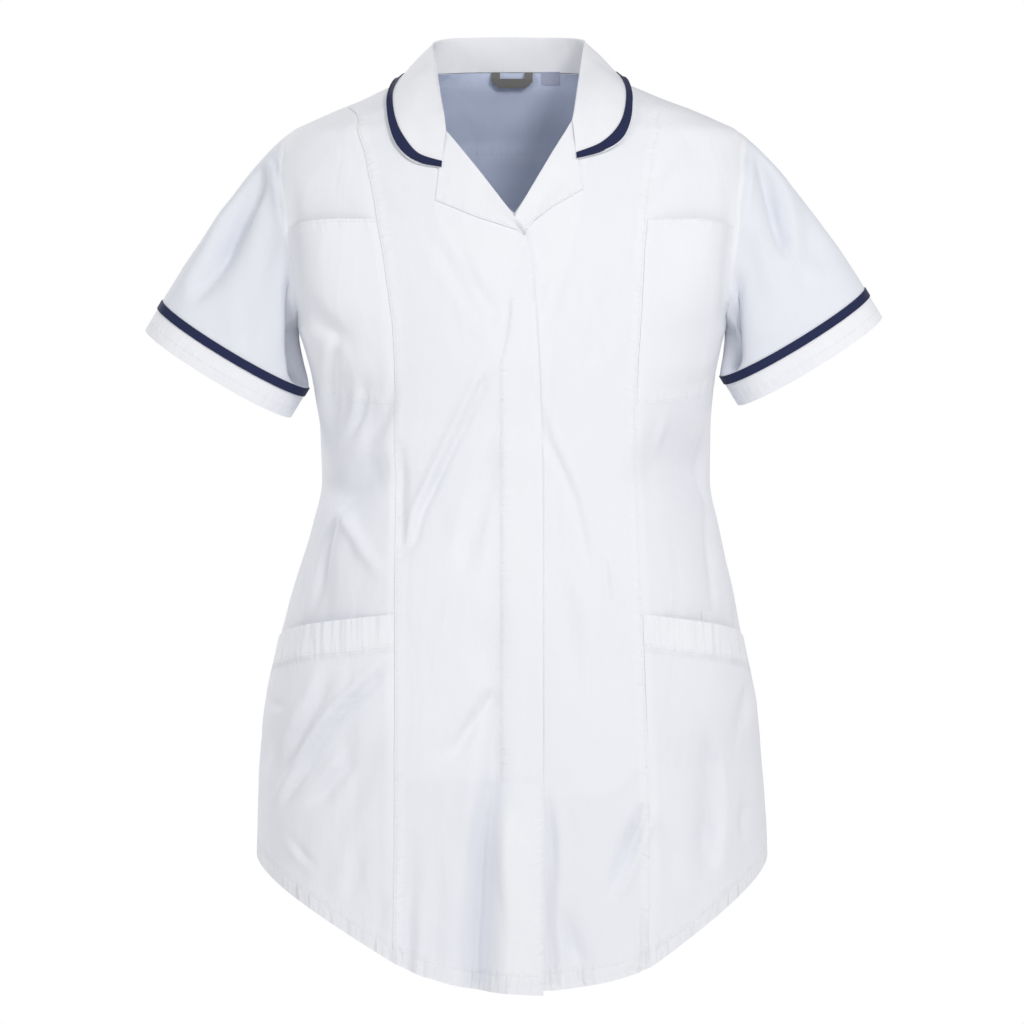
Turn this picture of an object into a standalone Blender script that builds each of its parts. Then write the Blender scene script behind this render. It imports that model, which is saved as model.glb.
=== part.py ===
"""A short-sleeved maternity tunic, filled out as if worn, with nothing inside it.

+Z is up. The front faces -Y, so the wearer's right side is at -X. The origin lies in the
neck, midway between the two shoulder seams, where the wearer's shoulders hold it. Lengths
are in millimetres and angles in degrees; the meshes are in metres.

A place on the body of the tunic is given by its turn and its height. The turn is 0 at the
centre front, 90 degrees at the wearer's left side seam, 180 at the centre back and -90 at
the right side seam. Every panel is a grid of such places, and what is sewn on a panel uses
the panel's own places, moved out.
"""
import math
from collections import namedtuple

import bmesh
import bpy
from mathutils import Vector

MM = 0.001

# Cloth
CLOTH = 1.2
SEAM_GAP = 0.3
PLY = CLOTH + SEAM_GAP
POCKET_CLOTH = 1.0
TRIM_CLOTH = 0.7
TRIM_LIFT = TRIM_CLOTH + SEAM_GAP
LABEL_CLOTH = 0.6

# The left front lies this much lower under the right one, and comes up again beyond its edge
LAP_DROP = PLY + 1.2
LAP_BLEND_START = 4
LAP_BLEND_END = 40

# Openings of the pockets, at the middle of the mouth, and how they close to the sides and down
CHEST_POCKET_GAPE = 8.5
HIP_POCKET_GAPE = 9.5
GAPE_TO_THE_SIDES = 1.6
GAPE_DOWNWARD = 0.6

# How far a pocket stays off the princess seam and off the side seam that catch it
POCKET_OFF_PRINCESS = 0.8
POCKET_OFF_SIDE = 7.0
PLACKET_OFF_EDGE = 0.4

# How square the body's sections are: 1 is an ellipse, less is squarer
ROUNDNESS = 0.85

# Steps along the body for its normals, and how near a side the front's folds fade out
TURN_STEP = 1.5
HEIGHT_STEP = 2
FOLD_FADE = 12

# Sections of the body, from the neck down to the hem
Section = namedtuple("Section", "height half_width front back shift")
SECTIONS = (
    Section(46, 56, 36, 52, -3),
    Section(20, 68, 40, 55, -2),
    Section(12, 86, 42, 55, -1),
    Section(5, 102, 44, 56, 0),
    Section(0, 113.5, 47, 58, 0.5),
    Section(-10, 136, 52, 63, 2),
    Section(-17, 154, 56, 66, 3),
    Section(-28, 179, 62, 71, 3),
    Section(-36, 195.5, 67, 75, 2.5),
    Section(-44, 202, 71, 79, 1.5),
    Section(-58, 207, 79, 84, 0),
    Section(-80, 213, 90, 91, -1),
    Section(-120, 214, 107, 98, 0),
    Section(-150, 209, 115, 100, 0),
    Section(-180, 201, 119, 100, 0),
    Section(-211, 187, 121, 98, 0),
    Section(-240, 179, 121, 95, 1),
    Section(-273, 174.6, 119, 91, 1.9),
    Section(-300, 171.5, 117, 88, 3),
    Section(-344, 170.5, 117, 87, 3.6),
    Section(-381, 178, 121, 89, 3),
    Section(-438, 193, 130, 96, 1),
    Section(-483, 203, 135, 101, -0.8),
    Section(-530, 213.5, 138, 105, -1.4),
    Section(-575, 219.5, 140, 107, -1.4),
    Section(-651, 224, 141, 109, 0),
    Section(-720, 226, 141, 110, 0),
    Section(-810, 228, 141, 111, 0),
)

# The armhole: how far round from the centre front or the centre back it is cut
Armhole = namedtuple("Armhole", "height turn")
ARMHOLE = (
    Armhole(-36, 90),
    Armhole(-43, 82),
    Armhole(-54, 76),
    Armhole(-70, 71),
    Armhole(-88, 68),
    Armhole(-104, 66.5),
    Armhole(-121, 66),
    Armhole(-140, 66.5),
    Armhole(-158, 68),
    Armhole(-175, 71),
    Armhole(-196, 78),
    Armhole(-211, 90),
)

# Seams and edges of the two fronts, as distances from the middle plane
PrincessSeam = namedtuple("PrincessSeam", "height right left")
PRINCESS_SEAMS = (
    PrincessSeam(-14, -138.5, 132),
    PrincessSeam(-42, -133, 128),
    PrincessSeam(-80, -124, 122.5),
    PrincessSeam(-118, -117.5, 117.5),
    PrincessSeam(-164, -110, 114.5),
    PrincessSeam(-220, -103.5, 111.5),
    PrincessSeam(-273, -102, 108.5),
    PrincessSeam(-344, -102, 110),
    PrincessSeam(-414, -102, 112),
    PrincessSeam(-554, -102, 117),
    PrincessSeam(-620, -102, 120),
    PrincessSeam(-770, -103, 121),
)

FrontEdge = namedtuple("FrontEdge", "height right left")
FRONT_EDGES = (
    FrontEdge(12, -85, 83),
    FrontEdge(2, -82, 77),
    FrontEdge(-12, -75, 67),
    FrontEdge(-28, -66, 54),
    FrontEdge(-38, -58, 47),
    FrontEdge(-78, -25.5, 23.5),
    FrontEdge(-112, 2.6, 1),
    FrontEdge(-128.5, 13, -9),
    FrontEdge(-142, 17.5, -12),
    FrontEdge(-172, 19.5, -12),
    FrontEdge(-220, 22.4, -12),
    FrontEdge(-269, 25, -12),
    FrontEdge(-361, 27, -12),
    FrontEdge(-800, 27.3, -12),
)

# Back princess seams, as a turn from the centre back
BACK_PRINCESS_TURN = 33

# Rows of the two fronts: heights at the front edge, the princess seam and the armhole or
# side seam, and how far a row bows down or up between them
Row = namedtuple("Row", "name edge princess side edge_bow side_bow")
FRONT_ROWS = (
    Row("shoulder seam", 12, -12, -36, 0, 0),
    Row("", 2, -21, -43, 0, 0),
    Row("", -12, -33, -54, 0, 0),
    Row("", -28, -49, -70, 0, 0),
    Row("", -50, -70, -88, 0, 0),
    Row("", -80, -93, -104, 0, 0),
    Row("chest pocket mouth", -112, -116, -121, 0, 0),
    Row("end of the lapels", -128.5, -136, -140, 0, 0),
    Row("", -152, -156, -158, 0, 0),
    Row("placket top", -187, -178, -175, 0, 0),
    Row("", -206, -200, -196, 0, 0),
    Row("underarm", -222, -220, -211, 0, 0),
    Row("", -246, -246, -236, 0, 0),
    Row("chest pocket bottom", -277, -277, -258, 0, -4),
    Row("", -302, -302, -292, 0, 0),
    Row("", -326, -326, -322, 0, 0),
    Row("waist", -350, -350, -350, 0, 0),
    Row("", -378, -378, -382, 0, 0),
    Row("", -408, -406, -416, 0, 0),
    Row("", -438, -434, -450, 0, 0),
    Row("hip pocket mouth", -468, -460, -485, 0, 0),
    Row("hip pocket hem", -498, -491, -513, 0, 0),
    Row("", -534, -528, -542, 0, 0),
    Row("", -572, -567, -574, 0, 0),
    Row("placket bottom", -612, -606, -604, 0, 0),
    Row("", -652, -643, -624, -1, 4),
    Row("", -694, -679, -638, -3, 7),
    Row("", -735, -712, -648, -5, 9),
    Row("hem fold", -769, -742, -654, -5, 10),
    Row("hem edge", -791, -763, -670, -6, 12),
)
PRINCESS_AT_SHOULDER = {"right": -12, "left": -7.5}
LEFT_HEM_RISE = 4
LEFT_HEM_DROP = 4

# Rows of the back below the yoke, in the same way, at the side seams' own heights
BackRow = namedtuple("BackRow", "name side princess centre side_bow centre_bow")
BACK_ROWS = (
    BackRow("yoke seam", -54, -56, -56, 0, 0),
    BackRow("", -70, -74, -76, 0, 0),
    BackRow("", -88, -96, -98, 0, 0),
    BackRow("", -104, -118, -120, 0, 0),
    BackRow("", -121, -140, -143, 0, 0),
    BackRow("", -140, -162, -166, 0, 0),
    BackRow("", -158, -182, -187, 0, 0),
    BackRow("", -175, -200, -206, 0, 0),
    BackRow("", -196, -218, -224, 0, 0),
    BackRow("underarm", -211, -234, -240, 0, 0),
    BackRow("", -236, -256, -262, 0, 0),
    BackRow("", -258, -276, -282, 0, 0),
    BackRow("", -292, -304, -308, 0, 0),
    BackRow("", -322, -328, -330, 0, 0),
    BackRow("waist", -350, -352, -352, 0, 0),
    BackRow("", -382, -380, -380, 0, 0),
    BackRow("", -416, -412, -410, 0, 0),
    BackRow("", -450, -446, -444, 0, 0),
    BackRow("", -485, -482, -480, 0, 0),
    BackRow("", -513, -515, -516, 0, 0),
    BackRow("", -542, -552, -554, 0, 0),
    BackRow("", -574, -590, -594, 0, 0),
    BackRow("", -604, -628, -634, 2, 0),
    BackRow("", -624, -662, -672, 4, -1),
    BackRow("", -638, -690, -704, 6, -2),
    BackRow("", -648, -712, -730, 8, -3),
    BackRow("hem fold", -654, -728, -752, 9, -4),
    BackRow("hem edge", -670, -749, -775, 10, -5),
)

YOKE_COLUMNS = 22
YOKE_LINES = 5
BACK_NECK_TOP = 17
SHOULDER_SHARE_OF_YOKE = 0.58

# Columns of each panel, as shares of the way from its inner to its outer edge
RIGHT_FRONT_COLUMNS = 11
LEFT_FRONT_COLUMNS = 11
SIDE_FRONT_COLUMNS = 8
BACK_CENTRE_COLUMNS = 10
SIDE_BACK_COLUMNS = 6

# The placket's stitched edge on the right front, as a distance from the middle plane
PlacketEdge = namedtuple("PlacketEdge", "height across")
PLACKET_EDGE = (
    PlacketEdge(-152, 0),
    PlacketEdge(-187, -1.5),
    PlacketEdge(-206, -3),
    PlacketEdge(-222, -5),
    PlacketEdge(-246, -10),
    PlacketEdge(-800, -9.3),
)
PLACKET_COLUMNS = 3
PLACKET_SHARE_ABOVE = 0.2
PLACKET_ROWS = ("placket top", "placket bottom")

# Folds in the cloth, seen from the front or from the back: distance from the middle plane,
# height, and depth, which is negative for a trough and positive for a ridge
FoldPoint = namedtuple("FoldPoint", "across height depth")
Fold = namedtuple("Fold", "name width points")
FRONT_FOLDS = (
    Fold("beside the placket", 10, (
        FoldPoint(-12, -370, 0), FoldPoint(-15, -480, -4), FoldPoint(-20, -610, -7),
        FoldPoint(-25, -665, -9), FoldPoint(-31, -800, -11))),
    Fold("drag from the placket", 9, (
        FoldPoint(-14, -520, 0), FoldPoint(-46, -570, -4), FoldPoint(-78, -592, 0))),
    Fold("right hip pocket, upper drag", 10, (
        FoldPoint(-112, -500, 0), FoldPoint(-150, -562, -5), FoldPoint(-192, -622, 0))),
    Fold("right hip pocket, lower drag", 10, (
        FoldPoint(-104, -537, 0), FoldPoint(-134, -607, -4), FoldPoint(-160, -676, 0))),
    Fold("right side above the pocket", 7, (
        FoldPoint(-162, -390, 0), FoldPoint(-163, -438, -3), FoldPoint(-163, -482, 0))),
    Fold("right waist ridge", 9, (
        FoldPoint(-140, -350, 0), FoldPoint(-147, -386, 4), FoldPoint(-160, -450, 0))),
    Fold("right bust, outer drag", 10, (
        FoldPoint(-150, -225, 0), FoldPoint(-147, -275, -4), FoldPoint(-150, -330, 0))),
    Fold("right bust, inner drag", 9, (
        FoldPoint(-118, -235, 0), FoldPoint(-124, -294, -4), FoldPoint(-128, -340, 0))),
    Fold("under the left chest pocket", 18, (
        FoldPoint(120, -286, 0), FoldPoint(148, -310, -5), FoldPoint(170, -336, 0))),
    Fold("left side above the pocket", 9, (
        FoldPoint(172, -345, 0), FoldPoint(174, -410, -3), FoldPoint(178, -480, 0))),
    Fold("left hip pocket, outer fold", 11, (
        FoldPoint(172, -560, 0), FoldPoint(172, -640, -5), FoldPoint(166, -690, 0))),
    Fold("left front hem, outer fold", 9, (
        FoldPoint(110, -630, 0), FoldPoint(100, -664, -4), FoldPoint(90, -700, 0))),
    Fold("left front hem, inner fold", 10, (
        FoldPoint(46, -700, 0), FoldPoint(55, -745, -4), FoldPoint(62, -790, -6))),
    Fold("right front hem fold", 12, (
        FoldPoint(-66, -690, 0), FoldPoint(-74, -740, 3), FoldPoint(-80, -790, 5))),
)
LAP_FOLDS = (
    Fold("front edge below the placket", 15, (
        FoldPoint(6, -620, 0), FoldPoint(8, -680, 5), FoldPoint(11, -800, 6))),
)
BACK_FOLDS = (
    Fold("right back waist fold", 14, (
        FoldPoint(-38, -270, 0), FoldPoint(-34, -350, -5), FoldPoint(-46, -470, 0))),
    Fold("left back waist fold", 14, (
        FoldPoint(34, -260, 0), FoldPoint(38, -340, -5), FoldPoint(30, -450, 0))),
    Fold("right shoulder blade drag", 13, (
        FoldPoint(-150, -150, 0), FoldPoint(-110, -210, -4), FoldPoint(-80, -290, 0))),
    Fold("left shoulder blade drag", 13, (
        FoldPoint(150, -150, 0), FoldPoint(112, -215, -4), FoldPoint(84, -300, 0))),
    Fold("right back hem fold", 16, (
        FoldPoint(-70, -480, 0), FoldPoint(-74, -620, -6), FoldPoint(-80, -780, -9))),
    Fold("middle back hem fold", 18, (
        FoldPoint(4, -500, 0), FoldPoint(8, -640, 5), FoldPoint(10, -780, 8))),
    Fold("left back hem fold", 16, (
        FoldPoint(84, -460, 0), FoldPoint(80, -620, -6), FoldPoint(88, -780, -9))),
)

# Sleeves: the ring at the upper edge of the trim, the hem below it, and their folds
SleeveRing = namedtuple("SleeveRing", "outer_x outer_z inner_x inner_z half_depth middle_y")
RIGHT_SLEEVE = SleeveRing(-307, -185, -181.5, -262, 38, -4)
LEFT_SLEEVE = SleeveRing(309.8, -174, 186.5, -250, 38, -4)
SLEEVE_HEM = 30
SLEEVE_TRIM = 8
SLEEVE_FRONT_BOW = 8
SLEEVE_ROWS = 7
SLEEVE_TOP_PULL = 88
SLEEVE_UNDER_PULL = 60
SLEEVE_END_PULL = 0.9
SLEEVE_OFF_SEAM = (0.35, 0.3)
SLEEVE_SPRINGS_OUT = Vector((0.88, 0, -0.48))
SLEEVE_HANGS_IN = 0.1
SLEEVE_FOLD_FADE = 15
RIGHT_SLEEVE_FOLDS = (
    Fold("sleeve trough", 12, (
        FoldPoint(-216, -70, 0), FoldPoint(-243, -123, -6), FoldPoint(-274, -210, 0))),
    Fold("second trough", 9, (
        FoldPoint(-203, -95, 0), FoldPoint(-214, -140, -4), FoldPoint(-226, -190, 0))),
    Fold("sleeve head ridge", 8, (
        FoldPoint(-212, -56, 0), FoldPoint(-204, -84, 4), FoldPoint(-198, -135, 0))),
)
LEFT_SLEEVE_FOLDS = (
    Fold("sleeve trough", 11, (
        FoldPoint(212, -50, 0), FoldPoint(230, -108, -5), FoldPoint(245, -158, 0))),
    Fold("second trough", 9, (
        FoldPoint(203, -110, 0), FoldPoint(214, -160, -3), FoldPoint(222, -220, 0))),
    Fold("sleeve head ridge", 8, (
        FoldPoint(212, -50, 0), FoldPoint(204, -88, 4), FoldPoint(197, -112, 0))),
)

# Collar: the neck seam, the fold above it and the outer edge of the fall, station by station.
# The neck seam is then drawn to the panels' own edges, and the fall is kept off the shoulders.
Station = namedtuple("Station", "name neck fold edge")
COLLAR_RIGHT = (
    Station("gorge", (-59.6, -68.5, -37.5), (-57.6, -71, -36.5), (-61, -81.5, -69)),
    Station("", (-66, -66, -28), (-60, -63.5, -23), (-84, -75, -65.5)),
    Station("", (-73, -58.5, -18), (-63, -50.5, -8), (-98.5, -65, -54)),
    Station("", (-78.5, -49, -9), (-65.5, -36, 7), (-106, -52, -38)),
    Station("", (-83, -36, 0), (-67.5, -21, 20), (-107.5, -33, -18)),
    Station("", (-85, -18, 7), (-69.5, -4, 31), (-103, -12, 0)),
    Station("shoulder seam", (-85, 1, 12), (-70.5, 14, 40), (-97, 10, 9)),
    Station("", (-76, 22, 14), (-66, 32, 44.5), (-91, 36, 5)),
    Station("", (-59, 40, 16), (-53, 46, 47), (-74, 58, 1)),
    Station("", (-34, 51, 17), (-32, 55, 48), (-44, 70, -1)),
)
COLLAR_MIDDLE = Station("centre back", (-3, 55, 17), (-3, 58, 48.5), (-3, 75, -2))
COLLAR_LEFT = (
    Station("", (28, 51, 17), (26, 55, 48), (38, 70, -1)),
    Station("", (53, 40, 16), (47, 46, 47.5), (68, 58, 1)),
    Station("", (71, 22, 14), (60, 32, 46), (85, 36, 5)),
    Station("shoulder seam", (82, 1, 12), (64.5, 14, 43), (94, 10, 10)),
    Station("", (81, -18, 7), (63.5, -4, 34), (101, -12, 2)),
    Station("", (78, -36, 0), (61.5, -21, 21), (104.5, -33, -15)),
    Station("", (73, -48, -8), (59.5, -36, 9), (104, -51, -34)),
    Station("", (67, -56, -15), (57.5, -48, -3), (96.5, -62, -47)),
    Station("", (60, -62, -22), (55.5, -59, -15), (79, -71, -56.5)),
    Station("gorge", (54.5, -64, -28.5), (52.6, -67, -28), (56, -78, -61)),
)
COLLAR_LAYERS = 2
COLLAR_FOLD_RADIUS = 1.8
COLLAR_BULGE = 3.5
COLLAR_SEAT = 0.7
COLLAR_STAND_SHARES = (0.0, 0.5, 1.0)
COLLAR_STAND_LEAN = 0.6
COLLAR_FALL_SHARES = (0.0, 0.3, 0.6, 0.82, 1.0)
COLLAR_CLEARANCES = (0.0, 4.5, 3.8, 3.0, 2.6)
COLLAR_TRIM_INSET = 0.8

# Lapels: the roll line, down to its end in the lap, and the lower edge from the lapel's point
LapelCorner = namedtuple("LapelCorner", "across height")
RIGHT_LAPEL_ROLL = (LapelCorner(-57, -39), LapelCorner(-25.5, -77), LapelCorner(2.2, -112),
                    LapelCorner(11.5, -127.5))
RIGHT_LAPEL_EDGE = (LapelCorner(-65, -98), LapelCorner(-31, -112), LapelCorner(4.5, -123.5),
                    LapelCorner(10.6, -128.5))
LEFT_LAPEL_ROLL = (LapelCorner(50.4, -33), LapelCorner(28, -69), LapelCorner(3.6, -110.5),
                   LapelCorner(12.2, -124))
LEFT_LAPEL_EDGE = (LapelCorner(59.8, -88), LapelCorner(35.5, -103), LapelCorner(18.5, -118),
                   LapelCorner(13.6, -125))
LAPEL_COLUMNS = 9
LAPEL_LAYERS = 3
LAPEL_LIFT = 1.0
LAPEL_ROLL_LIFT = 2.6

# Small pieces
PEN_STRIP = (165, 176, -458, -474)
PEN_STRIP_LIFT = PLY + 0.4
INSIDE_LIFT = -PLY - 0.9
EVEN_SHARES = (0.0, 0.5, 1.0)
HANGING_LOOP = (-17.6, 18.4, 15.0, 2.8)
LOOP_TAPE_SHARES = ((0.0, 0.2, 0.8, 1.0), (0.0, 0.42, 1.0))
LOOP_SLACK = (0.0, 5.2, 6.0)
SIZE_LABEL = (27, 43, 15.5, 4)

WHITE = (0.86, 0.875, 0.92)
NAVY = (0.014, 0.021, 0.075)
LOOP_GREY = (0.18, 0.18, 0.175)
LABEL_PALE = (0.60, 0.63, 0.74)


def smooth_table(places, values):
    """A smooth curve through a table, which never swings past its own points."""
    knots = sorted(zip(places, values))
    xs = [knot[0] for knot in knots]
    ys = [knot[1] for knot in knots]
    steps = [(ys[i + 1] - ys[i]) / (xs[i + 1] - xs[i]) for i in range(len(xs) - 1)]
    slopes = [steps[0]]
    for before, after in zip(steps, steps[1:]):
        slopes.append(0.0 if before * after <= 0 else 2 * before * after / (before + after))
    slopes.append(steps[-1])

    def value(x):
        if x <= xs[0]:
            return ys[0] + slopes[0] * (x - xs[0])
        if x >= xs[-1]:
            return ys[-1] + slopes[-1] * (x - xs[-1])
        i = max(k for k in range(len(xs) - 1) if xs[k] <= x)
        span = xs[i + 1] - xs[i]
        t = (x - xs[i]) / span
        start = (1 + 2 * t) * (1 - t) ** 2 * ys[i] + t * (1 - t) ** 2 * span * slopes[i]
        end = t * t * (3 - 2 * t) * ys[i + 1] + t * t * (t - 1) * span * slopes[i + 1]
        return start + end

    return value


def table_column(table, key, value):
    """The curve that one named column of a table gives over another."""
    return smooth_table([getattr(row, key) for row in table], [getattr(row, value) for row in table])


half_width_at = table_column(SECTIONS, "height", "half_width")
front_at = table_column(SECTIONS, "height", "front")
back_at = table_column(SECTIONS, "height", "back")
shift_at = table_column(SECTIONS, "height", "shift")
armhole_turn_at = table_column(ARMHOLE, "height", "turn")
placket_edge_at = table_column(PLACKET_EDGE, "height", "across")
princess_at = {"right": table_column(PRINCESS_SEAMS, "height", "right"),
               "left": table_column(PRINCESS_SEAMS, "height", "left")}
front_edge_at = {"right": table_column(FRONT_EDGES, "height", "right"),
                 "left": table_column(FRONT_EDGES, "height", "left")}


def mix(start, end, share):
    return start + (end - start) * share


def smooth_step(value):
    value = min(1.0, max(0.0, value))
    return value * value * (3 - 2 * value)


def body_point(turn, height):
    """A place on the body."""
    sine = math.sin(math.radians(turn))
    cosine = math.cos(math.radians(turn))
    across = half_width_at(height) * math.copysign(abs(sine) ** ROUNDNESS, sine)
    depth = -front_at(height) if cosine > 0 else back_at(height)
    return Vector((shift_at(height) + across, depth * abs(cosine) ** ROUNDNESS, height))


def body_normal(turn, height):
    """The direction out of the cloth there."""
    around = body_point(turn + TURN_STEP, height) - body_point(turn - TURN_STEP, height)
    up = body_point(turn, height + HEIGHT_STEP) - body_point(turn, height - HEIGHT_STEP)
    return around.cross(up).normalized()


def turn_in_front(across, height):
    """The turn of a place on the front that lies so far across."""
    share = (across - shift_at(height)) / half_width_at(height)
    share = max(-1.0, min(1.0, share))
    return math.degrees(math.asin(math.copysign(abs(share) ** (1 / ROUNDNESS), share)))


def fold_depth(folds, across, height):
    """How far the folds move the cloth out there."""
    depth = 0.0
    place = Vector((across, height))
    for fold in folds:
        nearest = None
        for start, end in zip(fold.points, fold.points[1:]):
            first = Vector((start.across, start.height))
            line = Vector((end.across, end.height)) - first
            share = max(0.0, min(1.0, (place - first).dot(line) / line.length_squared))
            gap = (place - first - line * share).length
            if nearest is None or gap < nearest[0]:
                nearest = (gap, mix(start.depth, end.depth, share))
        depth += nearest[1] * math.exp(-(nearest[0] / fold.width) ** 2)
    return depth


def cloth_place(turn, height, more_folds=()):
    """A place on the cloth and its normal, with the folds in it."""
    point = body_point(turn, height)
    normal = body_normal(turn, height)
    folds = FRONT_FOLDS + more_folds if abs(turn) < 90 else BACK_FOLDS
    fade = smooth_step(abs(90 - abs(turn)) / FOLD_FADE)
    return point + normal * fold_depth(folds, point.x, height) * fade, normal


def panel_grid(rows, shares_at, more_folds=()):
    """A grid of cloth places. A row has its two ends and its bow between them."""
    grid = []
    for start, end, bow in rows:
        line = []
        for share in shares_at(start, end):
            turn = mix(start[0], end[0], share)
            height = mix(start[1], end[1], share) + bow * 4 * share * (1 - share)
            line.append(cloth_place(turn, height, more_folds))
        grid.append(line)
    return grid


def even_shares(count):
    return lambda start, end: [column / count for column in range(count + 1)]


def trimmed(grid, sides, amount):
    """The grid with its named sides drawn in, so that a seam keeps its gap."""
    points = [[place[0].copy() for place in line] for line in grid]
    for line in points:
        if "start" in sides:
            line[0] += (line[1] - line[0]).normalized() * amount
        if "end" in sides:
            line[-1] += (line[-2] - line[-1]).normalized() * amount
    for column in range(len(points[0])):
        if "top" in sides:
            points[0][column] += (points[1][column] - points[0][column]).normalized() * amount
        if "bottom" in sides:
            points[-1][column] += (points[-2][column] - points[-1][column]).normalized() * amount
    return [[(point, place[1]) for point, place in zip(line, old)]
            for line, old in zip(points, grid)]


def lifted(grid, lift_at):
    """The grid moved out by a lift that depends on its row and column."""
    return [[(point + normal * lift_at(row, column), normal)
             for column, (point, normal) in enumerate(line)]
            for row, line in enumerate(grid)]


def material(name, colour, roughness):
    shade = bpy.data.materials.new(name)
    shade.use_nodes = True
    shader = shade.node_tree.nodes["Principled BSDF"]
    shader.inputs["Base Color"].default_value = (*colour, 1.0)
    shader.inputs["Roughness"].default_value = roughness
    shader.inputs["Metallic"].default_value = 0.0
    return shade


def cloth_object(name, grid, thickness, colour, closed=False, holes=()):
    """A closed sheet of cloth with its outer face on the grid."""
    rows = len(grid)
    columns = len(grid[0])
    sheet = bmesh.new()
    bmesh.ops.create_grid(sheet, x_segments=columns - 1, y_segments=rows - 1, size=1)
    inward = sheet.verts.layers.float_vector.new("inward")
    sheet.verts.ensure_lookup_table()
    for index, vert in enumerate(sheet.verts):
        point, normal = grid[index // columns][index % columns]
        vert.co = point * MM
        vert[inward] = normal * -thickness * MM
    sheet.faces.ensure_lookup_table()
    gone = [sheet.faces[row * (columns - 1) + column] for row, column in holes]
    if gone:
        bmesh.ops.delete(sheet, geom=gone, context="FACES")
    if closed:
        bmesh.ops.remove_doubles(sheet, verts=sheet.verts[:], dist=1e-6)
    bmesh.ops.triangulate(sheet, faces=sheet.faces[:], quad_method="FIXED")
    grown = bmesh.ops.extrude_face_region(sheet, geom=sheet.faces[:])
    for item in grown["geom"]:
        if isinstance(item, bmesh.types.BMVert):
            item.co += Vector(item[inward])
    bmesh.ops.recalc_face_normals(sheet, faces=sheet.faces[:])
    if sheet.calc_volume(signed=True) < 0:
        bmesh.ops.reverse_faces(sheet, faces=sheet.faces[:])
    mesh = bpy.data.meshes.new(name)
    sheet.to_mesh(mesh)
    sheet.free()
    mesh.materials.append(material(name, colour, 0.85))
    mesh.shade_smooth()
    mesh.set_sharp_from_angle(angle=math.radians(50))
    piece = bpy.data.objects.new(name, mesh)
    parts.objects.link(piece)
    return piece


def row_number(rows, name):
    return next(number for number, row in enumerate(rows) if row.name == name)


def sub_grid(grid, top, bottom, first=0, last=None):
    return [line[first:last] for line in grid[top:bottom + 1]]


def front_rows(side):
    """The rows of the centre and the side front, from the front edge out to the side."""
    sign = -1 if side == "right" else 1
    centre = []
    outer = []
    for number, row in enumerate(FRONT_ROWS):
        at_left_hem = side == "left" and row.name in ("hem fold", "hem edge")
        rise = LEFT_HEM_RISE if at_left_hem else 0
        drop = LEFT_HEM_DROP if at_left_hem else 0
        edge = (turn_in_front(front_edge_at[side](row.edge), row.edge), row.edge + rise)
        seam = (turn_in_front(princess_at[side](row.princess), row.princess), row.princess - drop)
        if number == 0:
            edge = (sign * 90, row.edge)
            seam = (sign * 90, PRINCESS_AT_SHOULDER[side])
        out = (sign * armhole_turn_at(row.side) if row.side > -211 else sign * 90, row.side)
        centre.append((edge, seam, row.edge_bow))
        outer.append((seam, out, row.side_bow))
    return centre, outer


def back_rows():
    """The rows of a side back, from the side to the princess seam, and of the centre back."""
    side = []
    centre = []
    for row in BACK_ROWS:
        out = (180 - armhole_turn_at(row.side) if row.side > -211 else 90, row.side)
        seam = (180 - BACK_PRINCESS_TURN, row.princess)
        side.append((out, seam, row.side_bow))
        centre.append((seam, (180, row.centre), row.centre_bow))
    return side, centre


def right_front_shares(start, end):
    """The right front's columns follow the placket's stitched edge."""
    width = PLACKET_SHARE_ABOVE
    if start[1] < PLACKET_EDGE[0].height:
        stitched = turn_in_front(placket_edge_at(start[1]), start[1])
        width = (stitched - start[0]) / (end[0] - start[0])
    inner = [width * column / PLACKET_COLUMNS for column in range(PLACKET_COLUMNS)]
    outer_count = RIGHT_FRONT_COLUMNS - PLACKET_COLUMNS
    outer = [mix(width, 1.0, column / outer_count) for column in range(outer_count + 1)]
    return inner + outer


def mirrored_turns(rows):
    return [((-start[0], start[1]), (-end[0], end[1]), bow) for start, end, bow in rows]


def build_fronts():
    """The right front laps over the left one, and the placket lies on the right front."""
    seam = SEAM_GAP / 2
    centre, outer = front_rows("right")
    right = panel_grid(centre, right_front_shares, LAP_FOLDS)
    side_right = panel_grid(outer, even_shares(SIDE_FRONT_COLUMNS))
    centre, outer = front_rows("left")
    left = panel_grid(centre, even_shares(LEFT_FRONT_COLUMNS))
    side_left = panel_grid(outer, even_shares(SIDE_FRONT_COLUMNS))

    def under_lap(row, column):
        point = left[row][column][0]
        beyond = point.x - front_edge_at["right"](point.z)
        share = (LAP_BLEND_END - beyond) / (LAP_BLEND_END - LAP_BLEND_START)
        return -LAP_DROP * smooth_step(share)

    cloth_object("front_right", trimmed(right, ("top", "end"), seam), CLOTH, WHITE)
    cloth_object("front_left", trimmed(lifted(left, under_lap), ("top", "end"), seam), CLOTH, WHITE)
    for side, grid in (("right", side_right), ("left", side_left)):
        cut = trimmed(grid, ("top", "start", "end"), seam)
        cloth_object("side_front_" + side, cut, CLOTH, WHITE)
        build_pockets(side, grid)
    build_placket(right)


def build_placket(front):
    """The placket's strip, from the front edge to its stitched edge."""
    top = row_number(FRONT_ROWS, PLACKET_ROWS[0])
    bottom = row_number(FRONT_ROWS, PLACKET_ROWS[1])
    strip = sub_grid(front, top, bottom, 0, PLACKET_COLUMNS + 1)
    strip = lifted(strip, lambda row, column: PLY)
    cloth_object("placket", trimmed(strip, ("start",), PLACKET_OFF_EDGE), CLOTH, WHITE)


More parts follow.
